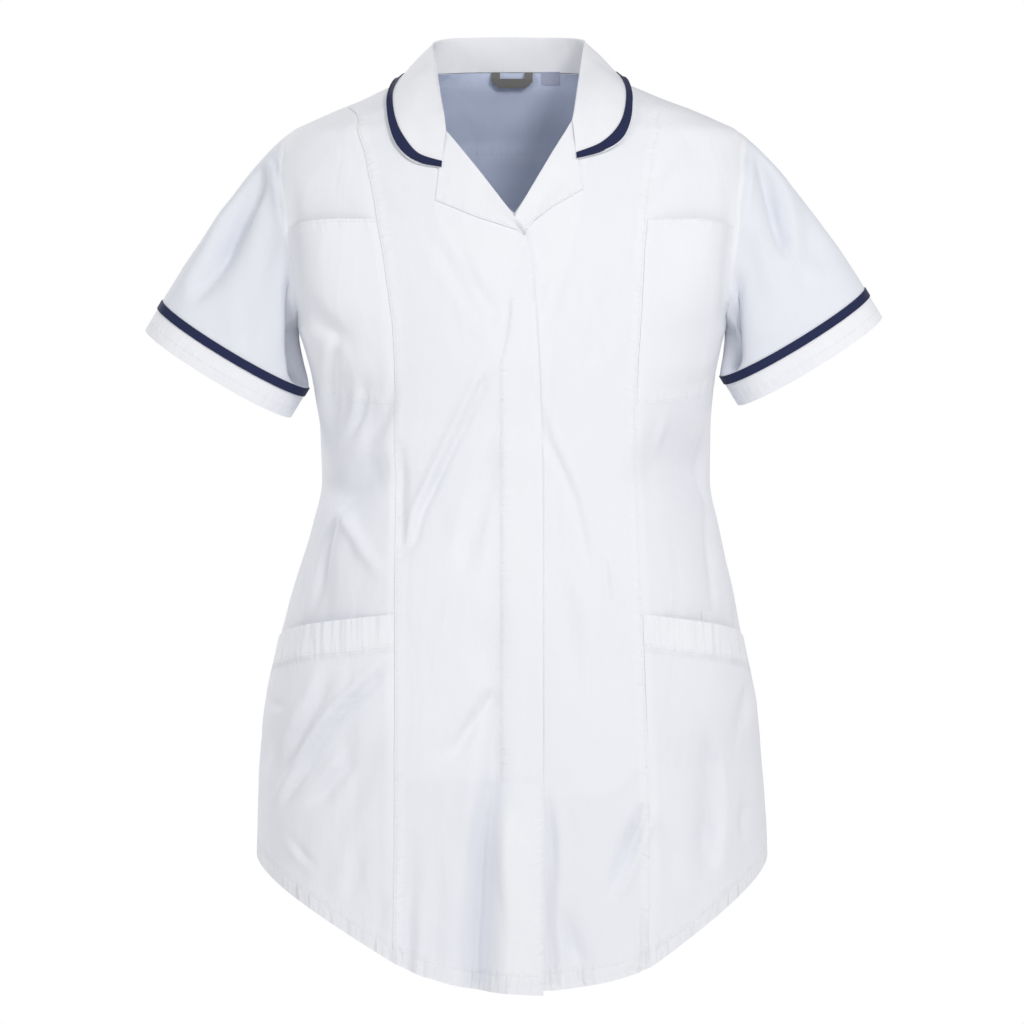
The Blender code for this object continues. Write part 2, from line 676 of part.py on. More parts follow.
def build_pockets(side, panel):
    """Two pockets on a side front, caught in its seams, which gape a little at the mouth."""
    pockets = (("chest_pocket_", "chest pocket mouth", "chest pocket bottom", CHEST_POCKET_GAPE),
               ("hip_pocket_", "hip pocket mouth", "placket bottom", HIP_POCKET_GAPE))
    for name, mouth, bottom, gape in pockets:
        rows = sub_grid(panel, row_number(FRONT_ROWS, mouth), row_number(FRONT_ROWS, bottom))
        last_row = len(rows) - 1
        last_column = len(rows[0]) - 1
        base = POCKET_CLOTH + SEAM_GAP

        def gaping(row, column):
            across = math.sin(math.pi * column / last_column) ** GAPE_TO_THE_SIDES
            down = math.cos(math.pi / 2 * row / last_row) ** GAPE_DOWNWARD
            return base + gape * across * down

        pocket = trimmed(lifted(rows, gaping), ("start",), POCKET_OFF_PRINCESS)
        pocket = trimmed(pocket, ("end",), POCKET_OFF_SIDE)
        cloth_object(name + side, pocket, POCKET_CLOTH, WHITE)


def build_back():
    """Centre back and side backs below a yoke that runs over both shoulder blades."""
    seam = SEAM_GAP / 2
    side, half = back_rows()
    columns = BACK_CENTRE_COLUMNS // 2
    near = panel_grid(half, even_shares(columns))
    far = panel_grid(mirrored_turns(half), even_shares(columns))
    centre = [line + list(reversed(other))[1:] for line, other in zip(near, far)]
    cloth_object("back_centre", trimmed(centre, ("top", "start", "end"), seam), CLOTH, WHITE)
    for name, rows in (("left", side), ("right", mirrored_turns(side))):
        grid = panel_grid(rows, even_shares(SIDE_BACK_COLUMNS))
        cut = trimmed(grid, ("top", "start", "end"), seam)
        cloth_object("side_back_" + name, cut, CLOTH, WHITE)


def yoke_top(share):
    """A place on the yoke's upper edge: the shoulder seam, then the back neck seam."""
    neck = FRONT_ROWS[0].edge
    if share <= SHOULDER_SHARE_OF_YOKE:
        return 90, mix(FRONT_ROWS[0].side, neck, share / SHOULDER_SHARE_OF_YOKE)
    along = (share - SHOULDER_SHARE_OF_YOKE) / (1 - SHOULDER_SHARE_OF_YOKE)
    return mix(90, 180, along), mix(neck, BACK_NECK_TOP, math.sin(math.pi / 2 * along))


def build_yoke():
    """The yoke, from the left armhole over the back to the right one."""
    seam = SEAM_GAP / 2
    half = YOKE_COLUMNS // 2
    edges = (BACK_ROWS[0].side, BACK_ROWS[0].princess)
    armhole_heights = [row.side for row in FRONT_ROWS[:3]]
    grid = []
    for line_number in range(YOKE_LINES):
        down = line_number / (YOKE_LINES - 1)
        line = []
        for column in range(half + 1):
            share = column / half
            top_turn, top_height = yoke_top(share)
            armhole_turn = 180 - armhole_turn_at(edges[0])
            low_turn = mix(armhole_turn, 180, share)
            along = (low_turn - armhole_turn) / (180 - BACK_PRINCESS_TURN - armhole_turn)
            low_height = mix(edges[0], edges[1], min(1.0, along))
            turn = mix(top_turn, low_turn, down)
            height = mix(top_height, low_height, down)
            if column == 0:
                height = mix(armhole_heights[0], armhole_heights[2], down)
                turn = 180 - armhole_turn_at(height)
            line.append((turn, height))
        grid.append(line)
    places = []
    for line in grid:
        left = [cloth_place(turn, height) for turn, height in line]
        right = [cloth_place(-turn, height) for turn, height in line[:-1]]
        places.append(left + list(reversed(right)))
    cut = trimmed(places, ("top", "bottom", "start", "end"), seam)
    cloth_object("yoke", cut, CLOTH, WHITE)


def armhole_loop(sign):
    """Places round an armhole: from under the arm up the front, then down the back."""
    heights = [row.height for row in ARMHOLE]
    front = [cloth_place(sign * armhole_turn_at(height), height) for height in reversed(heights)]
    back = [cloth_place(sign * (180 - armhole_turn_at(height)), height) for height in heights[1:]]
    return front + back


def ring_shares(points):
    """How far round each point of a closed loop lies, from 0 to 1."""
    total = 0.0
    shares = [0.0]
    for start, end in zip(points, points[1:]):
        total += (end - start).length
        shares.append(total)
    return [share / total for share in shares]


def sleeve_end(ring, sign, share, beyond):
    """A place on the sleeve at the trim, or further down its hem."""
    outer = Vector((ring.outer_x, ring.middle_y, ring.outer_z))
    inner = Vector((ring.inner_x, ring.middle_y, ring.inner_z))
    middle = (outer + inner) / 2
    along = inner - outer
    down = Vector((along.z, 0, -along.x)).normalized() * -sign
    angle = 2 * math.pi * share
    point = middle + along / 2 * math.cos(angle)
    point.y -= ring.half_depth * math.sin(angle)
    bow = SLEEVE_FRONT_BOW * max(0.0, math.sin(angle))
    return point + down * (beyond + bow), down


def sleeve_rings(ring, sign, folds):
    """Rings from the armhole to the hem edge, each a list of places."""
    loop = armhole_loop(sign)
    shares = ring_shares([place[0] for place in loop])
    lines = []
    for number in range(SLEEVE_ROWS + 3):
        line = []
        for (start, normal), share in zip(loop, shares):
            top = (1 - math.cos(2 * math.pi * share)) / 2
            end, down = sleeve_end(ring, sign, share, 0)
            spring = Vector((sign * SLEEVE_SPRINGS_OUT.x, 0, SLEEVE_SPRINGS_OUT.z))
            outward = spring * top + Vector((0, 0, -1)) * (1 - top)
            outward.normalize()
            pull = mix(SLEEVE_UNDER_PULL, SLEEVE_TOP_PULL, top)
            origin = start + normal * SLEEVE_OFF_SEAM[0] + outward * SLEEVE_OFF_SEAM[1]
            if number <= SLEEVE_ROWS:
                t = number / SLEEVE_ROWS
                arrive = mix(Vector((-sign * SLEEVE_HANGS_IN, 0, -1)), down, smooth_step(top * 3))
                spread = (end - origin).length * SLEEVE_END_PULL
                point = ((1 + 2 * t) * (1 - t) ** 2 * origin + t * (1 - t) ** 2 * outward * pull
                         + t * t * (3 - 2 * t) * end + t * t * (t - 1) * arrive * spread)
            else:
                beyond = SLEEVE_TRIM if number == SLEEVE_ROWS + 1 else SLEEVE_HEM
                point = sleeve_end(ring, sign, share, beyond)[0]
            line.append(point)
        line[-1] = line[0].copy()
        lines.append(line)
    normals = ring_normals(lines)
    return [[(point + normal * sleeve_fold(folds, point, number, ring), normal)
             for point, normal in zip(line, normal_line)]
            for number, (line, normal_line) in enumerate(zip(lines, normals))]


def sleeve_fold(folds, point, number, ring):
    """The sleeve's folds, in front and, mirrored front to back, behind."""
    if number == 0 or number >= SLEEVE_ROWS:
        return 0.0
    side = smooth_step(abs(point.y - ring.middle_y) / SLEEVE_FOLD_FADE)
    return fold_depth(folds, point.x, point.z) * side


def ring_normals(lines):
    """Normals of a tube of closed rings whose last place repeats the first."""
    normals = []
    last = len(lines[0]) - 1
    for number, line in enumerate(lines):
        above = lines[max(0, number - 1)]
        below = lines[min(len(lines) - 1, number + 1)]
        middle = sum(line[:-1], Vector()) / last
        row = []
        for column, point in enumerate(line):
            around = line[(column + 1) % last] - line[(column - 1) % last]
            along = below[column] - above[column]
            normal = around.cross(along).normalized()
            row.append(normal if normal.dot(point - middle) > 0 else -normal)
        normals.append(row)
    return normals


def build_sleeves():
    """Each sleeve is one tube, with the trim as a band that lies on it above the hem."""
    sleeves = (("right", RIGHT_SLEEVE, -1, RIGHT_SLEEVE_FOLDS),
               ("left", LEFT_SLEEVE, 1, LEFT_SLEEVE_FOLDS))
    for side, ring, sign, folds in sleeves:
        rings = sleeve_rings(ring, sign, folds)
        cloth_object("sleeve_" + side, rings, CLOTH, WHITE, closed=True)
        band = rings[SLEEVE_ROWS:SLEEVE_ROWS + 2]
        band = lifted(band, lambda row, column: TRIM_LIFT)
        cloth_object("sleeve_trim_" + side, band, TRIM_CLOTH, NAVY, closed=True)


def neck_seam():
    """The upper edges of the fronts and the yoke, as one line of places round the neck."""
    edge_rows = [row.edge for row in FRONT_ROWS[:6]]
    sides = {}
    for side in ("right", "left"):
        line = [cloth_place(turn_in_front(front_edge_at[side](height), height), height)[0]
                for height in reversed(edge_rows[1:])]
        sides[side] = line
    half = YOKE_COLUMNS // 2
    tops = [yoke_top(column / half) for column in range(half + 1)]
    tops = [top for top in tops if top[0] > 90]
    tops.insert(0, (90, FRONT_ROWS[0].edge))
    back = [cloth_place(-turn, height)[0] for turn, height in tops]
    back += [cloth_place(turn, height)[0] for turn, height in reversed(tops[:-1])]
    return sides["right"] + back + list(reversed(sides["left"]))


def nearest_on_line(point, line):
    best = None
    for start, end in zip(line, line[1:]):
        way = end - start
        share = max(0.0, min(1.0, (point - start).dot(way) / way.length_squared))
        place = start + way * share
        if best is None or (place - point).length < (best - point).length:
            best = place
    return best


def kept_clear(point, clearance):
    """The point, moved out of the body until it lies so far off the cloth."""
    turn = math.degrees(math.atan2(point.x - shift_at(point.z), -point.y))
    height = min(point.z, 10.0)
    step = 8.0
    best = (body_point(turn, height) - point).length
    while step > 0.05:
        tries = ((turn + step / 2, height), (turn - step / 2, height),
                 (turn, height + step), (turn, height - step))
        found = min(((body_point(*place) - point).length, place) for place in tries)
        if found[0] < best:
            best = found[0]
            turn, height = found[1]
        else:
            step /= 2
    base = body_point(turn, height)
    normal = body_normal(turn, height)
    away = (point - base).dot(normal)
    return point + normal * (clearance - away) if away < clearance else point


def collar_profile(station, seam_line):
    """Points across the collar, from the neck seam over the fold to the edge of the fall."""
    neck, fold, edge = (Vector(place) for place in station[1:])
    neck = nearest_on_line(neck, seam_line)
    neck += (fold - neck).normalized() * COLLAR_SEAT
    away = (edge - neck)
    away.z = 0
    away.normalize()
    radius = COLLAR_FOLD_RADIUS
    inner_top = fold - Vector((0, 0, radius)) - away * radius * COLLAR_STAND_LEAN
    outer_top = fold - Vector((0, 0, radius)) + away * radius
    profile = [mix(neck, inner_top, share) for share in COLLAR_STAND_SHARES]
    profile.append(fold)
    fall = edge - outer_top
    side = fall.cross(away).cross(fall).normalized()
    if side.dot(away) < 0:
        side = -side
    for share, clearance in zip(COLLAR_FALL_SHARES, COLLAR_CLEARANCES):
        bulge = COLLAR_BULGE * math.sin(math.pi * share)
        place = outer_top + fall * share + side * bulge
        profile.append(kept_clear(place, clearance) if clearance else place)
    return profile


def smooth_stations(profiles, extra):
    """More stations between the given ones, on smooth lines."""
    result = []
    count = len(profiles)
    for number in range(count - 1):
        before = profiles[max(0, number - 1)]
        start = profiles[number]
        end = profiles[number + 1]
        after = profiles[min(count - 1, number + 2)]
        for step in range(extra):
            t = step / extra
            line = []
            for p0, p1, p2, p3 in zip(before, start, end, after):
                point = 0.5 * ((2 * p1) + (p2 - p0) * t + (2 * p0 - 5 * p1 + 4 * p2 - p3) * t * t
                               + (3 * p1 - p0 - 3 * p2 + p3) * t ** 3)
                line.append(point)
            result.append(line)
    result.append([point.copy() for point in profiles[-1]])
    return result


def strip_normals(lines, outside):
    """Normals of an open strip, turned towards the side that outside names."""
    normals = []
    for number, line in enumerate(lines):
        before = lines[max(0, number - 1)]
        after = lines[min(len(lines) - 1, number + 1)]
        row = []
        for column, point in enumerate(line):
            along = after[column] - before[column]
            across = line[min(len(line) - 1, column + 1)] - line[max(0, column - 1)]
            row.append(across.cross(along).normalized() * outside)
        normals.append(row)
    return normals


def build_collar():
    """Stand and fall in one folded strip, with the trim lying along the edge of the fall."""
    stations = COLLAR_RIGHT + (COLLAR_MIDDLE,) + COLLAR_LEFT
    seam_line = neck_seam()
    profiles = [collar_profile(station, seam_line) for station in stations]
    lines = smooth_stations(profiles, COLLAR_LAYERS)
    normals = strip_normals(lines, -1)
    grid = [list(zip(line, row)) for line, row in zip(lines, normals)]
    cloth_object("collar", grid, CLOTH, WHITE)
    trim = [line[-2:] for line in grid]
    trim = lifted(trim, lambda row, column: TRIM_LIFT)
    trim = trimmed(trim, ("end",), COLLAR_TRIM_INSET)
    cloth_object("collar_trim", trim, TRIM_CLOTH, NAVY)


def polyline(points, count):
    """Evenly spaced places along straight stretches."""
    places = [Vector((point.across, point.height)) for point in points]
    shares = ring_shares(places)
    line = []
    for step in range(count + 1):
        share = step / count
        number = max(k for k in range(len(shares) - 1) if shares[k] <= share or k == 0)
        span = shares[number + 1] - shares[number]
        line.append(mix(places[number], places[number + 1], (share - shares[number]) / span))
    return line


def build_lapels():
    """The lapels lie on the fronts and rise a little at the roll line."""
    lapels = (("right", RIGHT_LAPEL_ROLL, RIGHT_LAPEL_EDGE), ("left", LEFT_LAPEL_ROLL, LEFT_LAPEL_EDGE))
    for side, roll, edge in lapels:
        roll_line = polyline(roll, LAPEL_COLUMNS)
        edge_line = polyline(edge, LAPEL_COLUMNS)
        grid = []
        for layer in range(LAPEL_LAYERS + 1):
            share = layer / LAPEL_LAYERS
            lift = CLOTH + mix(LAPEL_ROLL_LIFT, LAPEL_LIFT, smooth_step(share * 1.5))
            line = []
            for start, end in zip(roll_line, edge_line):
                place = mix(start, end, share)
                point, normal = cloth_place(turn_in_front(place.x, place.y), place.y)
                line.append((point + normal * lift, normal))
            grid.append(line)
        cloth_object("lapel_" + side, grid, CLOTH, WHITE)


def small_patch(box, across_shares, down_shares, in_front):
    """A small flat piece on the inside of the yoke or on the outside of a front."""
    low_x, high_x, top, bottom = box
    grid = []
    for down in down_shares:
        height = mix(top, bottom, down)
        line = []
        for across in across_shares:
            turn = turn_in_front(mix(low_x, high_x, across), height)
            line.append(cloth_place(turn if in_front else 180 - turn, height))
        grid.append(line)
    return grid


def build_small_pieces():
    """Pen strip on the left side front, and the loop and the bare label inside the neck."""
    strip = small_patch(PEN_STRIP, EVEN_SHARES, EVEN_SHARES, in_front=True)
    strip = lifted(strip, lambda row, column: PEN_STRIP_LIFT)
    cloth_object("pen_strip", strip, CLOTH, WHITE)
    loop = small_patch(HANGING_LOOP, LOOP_TAPE_SHARES[0], LOOP_TAPE_SHARES[1], in_front=False)
    loop = lifted(loop, lambda row, column: INSIDE_LIFT - LOOP_SLACK[row])
    cloth_object("hanging_loop", loop, TRIM_CLOTH, LOOP_GREY, holes=((0, 1),))
    label = small_patch(SIZE_LABEL, EVEN_SHARES, EVEN_SHARES, in_front=False)
    label = lifted(label, lambda row, column: INSIDE_LIFT)
    cloth_object("size_label", label, LABEL_CLOTH, LABEL_PALE)


for old in list(bpy.data.objects):
    bpy.data.objects.remove(old, do_unlink=True)

parts = bpy.data.collections.new("maternity_tunic")
bpy.context.scene.collection.children.link(parts)

build_fronts()
build_back()
build_yoke()
build_sleeves()
build_collar()
build_lapels()
build_small_pieces()
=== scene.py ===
# A maternity tunic, filled out as if worn: its cloth, stitching, trim and studio. The form of
# each cloth piece follows its solid in the frame: places on the body are given by a turn and a
# height, in degrees and millimetres, and the meshes are in metres.
import math
from collections import namedtuple

import bmesh
import bpy
import numpy as np
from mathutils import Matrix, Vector


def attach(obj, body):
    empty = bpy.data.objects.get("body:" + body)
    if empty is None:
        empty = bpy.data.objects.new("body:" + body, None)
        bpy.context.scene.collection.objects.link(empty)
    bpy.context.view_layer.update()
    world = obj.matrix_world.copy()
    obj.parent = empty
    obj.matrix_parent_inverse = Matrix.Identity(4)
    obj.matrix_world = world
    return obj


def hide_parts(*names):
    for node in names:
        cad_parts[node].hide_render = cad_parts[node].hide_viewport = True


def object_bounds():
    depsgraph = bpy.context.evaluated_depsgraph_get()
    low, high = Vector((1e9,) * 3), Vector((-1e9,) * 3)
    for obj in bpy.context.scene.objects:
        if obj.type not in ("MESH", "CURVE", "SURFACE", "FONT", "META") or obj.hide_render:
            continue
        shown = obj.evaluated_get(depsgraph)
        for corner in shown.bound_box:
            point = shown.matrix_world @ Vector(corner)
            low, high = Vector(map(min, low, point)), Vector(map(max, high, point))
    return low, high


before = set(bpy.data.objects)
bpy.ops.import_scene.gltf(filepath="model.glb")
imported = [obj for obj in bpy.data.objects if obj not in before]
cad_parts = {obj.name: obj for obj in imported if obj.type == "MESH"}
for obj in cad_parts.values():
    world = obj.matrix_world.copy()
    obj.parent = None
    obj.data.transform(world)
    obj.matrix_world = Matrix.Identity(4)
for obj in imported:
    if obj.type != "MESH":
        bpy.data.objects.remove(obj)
cad_low, cad_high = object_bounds()


def rows_of(kind, *rows):
    return [kind(*row) for row in rows]


MM = 0.001
SIDES = ("right", "left")

# Thicknesses of the cloth and the tapes as they lie on each other, and the gap between them
CLOTH = 1.2
SEAM_GAP = 0.3
PLY = CLOTH + SEAM_GAP
POCKET_CLOTH = 1.0
TRIM_CLOTH = 0.7
TRIM_LIFT = TRIM_CLOTH + SEAM_GAP
LABEL_CLOTH = 0.6

# The left front lies this much lower under the right one, and comes up again beyond its edge
LAP_DROP = 0.8
LAP_BLEND_START = 4
LAP_BLEND_END = 40

# Openings of the pockets, at the middle of the mouth, and how they close to the sides and down
CHEST_POCKET_GAPE = 8.5
HIP_POCKET_GAPE = 9.5
GAPE_TO_THE_SIDES = 1.6
GAPE_DOWNWARD = 0.6

# How far a pocket stays off the princess seam, its share of the way to the side seam, and how
# far the placket strip stays off the front edge
POCKET_OFF_PRINCESS = 0.3
POCKET_REACH = 0.962
PLACKET_OFF_EDGE = 0.4

# How square the body's sections are: 1 is an ellipse, less is squarer
ROUNDNESS = 0.85

# Steps along the body for its normals, and how near a side the front's folds fade out
TURN_STEP = 1.5
HEIGHT_STEP = 2
FOLD_FADE = 12

# Sections of the body, from the neck down to the hem
Section = namedtuple("Section", "height half_width front back shift")
SECTIONS = rows_of(Section, (46, 56, 36, 52, -3), (20, 68, 40, 55, -2), (12, 86, 42, 55, -1),
    (5, 102, 44, 56, 0), (0, 113.5, 47, 58, 0.5), (-10, 136, 52, 63, 2), (-17, 154, 56, 66, 3),
    (-28, 179, 62, 71, 3), (-36, 195.5, 67, 75, 2.5), (-44, 202, 71, 79, 1.5),
    (-58, 207, 79, 84, 0), (-80, 213, 90, 91, -1), (-120, 214, 107, 98, 0),
    (-150, 209, 115, 100, 0), (-180, 201, 119, 100, 0), (-211, 187, 121, 98, 0),
    (-240, 179, 121, 95, 1), (-273, 174.6, 119, 91, 1.9), (-300, 171.5, 117, 88, 3),
    (-344, 170.5, 117, 87, 3.6), (-381, 178, 121, 89, 3), (-438, 193, 130, 96, 1),
    (-483, 203, 135, 101, -0.8), (-530, 213.5, 138, 105, -1.4), (-575, 219.5, 140, 107, -1.4),
    (-651, 224, 141, 109, 0), (-720, 226, 141, 110, 0), (-810, 228, 141, 111, 0))

# The armhole: how far round from the centre front or the centre back it is cut
Armhole = namedtuple("Armhole", "height turn")
ARMHOLE = rows_of(Armhole, (-36, 90), (-43, 82), (-54, 76), (-70, 71), (-88, 68), (-104, 66.5),
    (-121, 66), (-140, 66.5), (-158, 68), (-175, 71), (-196, 78), (-211, 90))

# Seams and edges of the two fronts, as distances from the middle plane
PrincessSeam = namedtuple("PrincessSeam", "height right left")
PRINCESS_SEAMS = rows_of(PrincessSeam, (-14, -138.5, 132), (-42, -133, 128), (-80, -124, 122.5),
    (-118, -117.5, 117.5), (-164, -110, 114.5), (-220, -103.5, 111.5), (-273, -102, 108.5),
    (-344, -102, 110), (-414, -102, 112), (-554, -102, 117), (-620, -102, 120), (-770, -103, 121))

FrontEdge = namedtuple("FrontEdge", "height right left")
FRONT_EDGES = rows_of(FrontEdge, (12, -85, 83), (2, -82, 77), (-12, -75, 67), (-28, -66, 54),
    (-38, -58, 47), (-78, -25.5, 23.5), (-112, 2.6, 1), (-128.5, 13, -9), (-142, 17.5, -12),
    (-172, 19.5, -12), (-220, 22.4, -12), (-269, 25, -12), (-361, 27, -12), (-800, 27.3, -12))

# Back princess seams, as a turn from the centre back
BACK_PRINCESS_TURN = 33

# Rows of the two fronts: heights at the front edge, the princess seam and the armhole or
# side seam, and how far a row bows down or up between them
Row = namedtuple("Row", "edge princess side edge_bow side_bow name", defaults=(0, 0, ""))
FRONT_ROWS = rows_of(Row, (12, -12, -36, 0, 0, "shoulder seam"), (2, -21, -43), (-12, -33, -54),
    (-28, -49, -70), (-50, -70, -88), (-80, -93, -104),
    (-112, -116, -121, 0, 0, "chest pocket mouth"), (-128.5, -136, -140, 0, 0, "end of the lapels"),
    (-152, -156, -158), (-187, -178, -175, 0, 0, "placket top"), (-206, -200, -196),
    (-222, -220, -211, 0, 0, "underarm"), (-246, -246, -236),
    (-277, -277, -258, 0, -4, "chest pocket bottom"), (-302, -302, -292), (-326, -326, -322),
    (-350, -350, -350, 0, 0, "waist"), (-378, -378, -382), (-408, -406, -416), (-438, -434, -450),
    (-468, -460, -485, 0, 0, "hip pocket mouth"), (-498, -491, -513, 0, 0, "hip pocket hem"),
    (-534, -528, -542), (-572, -567, -574), (-612, -606, -604, 0, 0, "placket bottom"),
    (-652, -643, -624, -1, 4), (-694, -679, -638, -3, 7), (-735, -712, -648, -5, 9),
    (-769, -742, -654, -5, 10, "hem fold"), (-791, -763, -670, -6, 12, "hem edge"))
PRINCESS_AT_SHOULDER = {"right": -12, "left": -7.5}
UNDERARM = -211
LEFT_HEM_RISE = 4
LEFT_HEM_DROP = 4

# Rows of the back below the yoke, in the same way, at the side seams' own heights
BackRow = namedtuple("BackRow", "side princess centre side_bow centre_bow name", defaults=(0, 0, ""))
BACK_ROWS = rows_of(BackRow, (-54, -56, -56, 0, 0, "yoke seam"), (-70, -74, -76), (-88, -96, -98),
    (-104, -118, -120), (-121, -140, -143), (-140, -162, -166), (-158, -182, -187),
    (-175, -200, -206), (-196, -218, -224), (-211, -234, -240, 0, 0, "underarm"),
    (-236, -256, -262), (-258, -276, -282), (-292, -304, -308), (-322, -328, -330),
    (-350, -352, -352, 0, 0, "waist"), (-382, -380, -380), (-416, -412, -410), (-450, -446, -444),
    (-485, -482, -480), (-513, -515, -516), (-542, -552, -554), (-574, -590, -594),
    (-604, -628, -634, 2, 0), (-624, -662, -672, 4, -1), (-638, -690, -704, 6, -2),
    (-648, -712, -730, 8, -3), (-654, -728, -752, 9, -4, "hem fold"),
    (-670, -749, -775, 10, -5, "hem edge"))

BACK_NECK_TOP = 17
SHOULDER_SHARE_OF_YOKE = 0.58

# The placket's stitched edge on the right front, as a distance from the middle plane
PlacketEdge = namedtuple("PlacketEdge", "height across")
PLACKET_EDGE = rows_of(PlacketEdge, (-152, 0), (-187, -1.5), (-206, -3), (-222, -5), (-246, -10),
    (-800, -9.3))
PLACKET_SHARE_ABOVE = 0.2
PLACKET_BLEND = 24
PLACKET_ROWS = ("placket top", "placket bottom")

# Folds in the cloth, seen from the front or from the back: distance from the middle plane,
# height, and depth, which is negative for a trough and positive for a ridge. A lean raises a
# ridge along the fold's left or right side.
FoldPoint = namedtuple("FoldPoint", "across height depth")
Crease = namedtuple("Crease", "name width lean points")


def crease(name, width, lean, *points):
    return Crease(name, width, lean, rows_of(FoldPoint, *points))


FRONT_FOLDS = (
    crease("beside the placket", 10, 0, (-12, -370, 0), (-15, -480, -4), (-20, -610, -7),
           (-25, -665, -9), (-31, -800, -11)),
    crease("drag from the placket", 9, 0, (-14, -520, 0), (-46, -570, -4), (-78, -592, 0)),
    crease("right hip pocket, upper drag", 10, 0, (-112, -500, 0), (-150, -562, -5),
           (-192, -622, 0)),
    crease("right hip pocket, lower drag", 10, 0, (-104, -537, 0), (-134, -607, -4),
           (-160, -676, 0)),
    crease("right side above the pocket", 7, 0, (-162, -390, 0), (-163, -438, -3), (-163, -482, 0)),
    crease("right waist ridge", 9, 0, (-140, -350, 0), (-147, -386, 4), (-160, -450, 0)),
    crease("right bust, outer drag", 10, 0, (-150, -225, 0), (-147, -275, -4), (-150, -330, 0)),
    crease("right bust, inner drag", 9, 0, (-118, -235, 0), (-124, -294, -4), (-128, -340, 0)),
    crease("under the left chest pocket", 18, 0, (120, -286, 0), (148, -310, -5), (170, -336, 0)),
    crease("left side above the pocket", 9, 0, (172, -345, 0), (174, -410, -3), (178, -480, 0)),
    crease("left hip pocket, outer fold", 11, 0, (172, -560, 0), (172, -640, -5), (166, -690, 0)),
    crease("left front hem, outer fold", 9, 0, (110, -630, 0), (100, -664, -4), (90, -700, 0)),
    crease("left front hem, inner fold", 10, 0, (46, -700, 0), (55, -745, -4), (62, -790, -6)),
    crease("right front hem fold", 12, 0, (-66, -690, 0), (-74, -740, 3), (-80, -790, 5)),
)
LAP_FOLDS = (
    crease("front edge below the placket", 15, 0, (6, -620, 0), (8, -680, 5), (11, -800, 6)),
)
BACK_FOLDS = (
    crease("right back waist fold", 14, 0, (-38, -270, 0), (-34, -350, -5), (-46, -470, 0)),
    crease("left back waist fold", 14, 0, (34, -260, 0), (38, -340, -5), (30, -450, 0)),
    crease("right shoulder blade drag", 13, 0, (-150, -150, 0), (-110, -210, -4), (-80, -290, 0)),
    crease("left shoulder blade drag", 13, 0, (150, -150, 0), (112, -215, -4), (84, -300, 0)),
    crease("right back hem fold", 16, 0, (-70, -480, 0), (-74, -620, -6), (-80, -780, -9)),
    crease("middle back hem fold", 18, 0, (4, -500, 0), (8, -640, 5), (10, -780, 8)),
    crease("left back hem fold", 16, 0, (84, -460, 0), (80, -620, -6), (88, -780, -9)),
)

# Sleeves: the ring at the upper edge of the trim, the hem below it, and their folds
SleeveRing = namedtuple("SleeveRing", "outer_x outer_z inner_x inner_z half_depth middle_y")
RIGHT_SLEEVE = SleeveRing(-307, -185, -178.6, -262, 38, -4)
LEFT_SLEEVE = SleeveRing(309.8, -174, 182.8, -251.5, 38, -4)
SLEEVE_HEM = 30
SLEEVE_TRIM = 8
SLEEVE_FRONT_BOW = 8
SLEEVE_ROWS = 7
SLEEVE_TOP_PULL = 88
SLEEVE_UNDER_PULL = 60
SLEEVE_END_PULL = 0.9
SLEEVE_OFF_SEAM = (-0.1, 0.0)
SLEEVE_SPRINGS_OUT = Vector((0.88, 0, -0.48))
SLEEVE_HANGS_IN = 0.1
SLEEVE_FOLD_FADE = 15
RIGHT_SLEEVE_FOLDS = (
    crease("sleeve trough", 12, 0, (-216, -70, 0), (-243, -123, -6), (-274, -210, 0)),
    crease("second trough", 9, 0, (-203, -95, 0), (-214, -140, -4), (-226, -190, 0)),
    crease("sleeve head ridge", 8, 0, (-212, -56, 0), (-204, -84, 4), (-198, -135, 0)),
)
LEFT_SLEEVE_FOLDS = (
    crease("sleeve trough", 11, 0, (212, -50, 0), (230, -108, -5), (245, -158, 0)),
    crease("second trough", 9, 0, (203, -110, 0), (214, -160, -3), (222, -220, 0)),
    crease("sleeve head ridge", 8, 0, (212, -50, 0), (204, -88, 4), (197, -112, 0)),
)

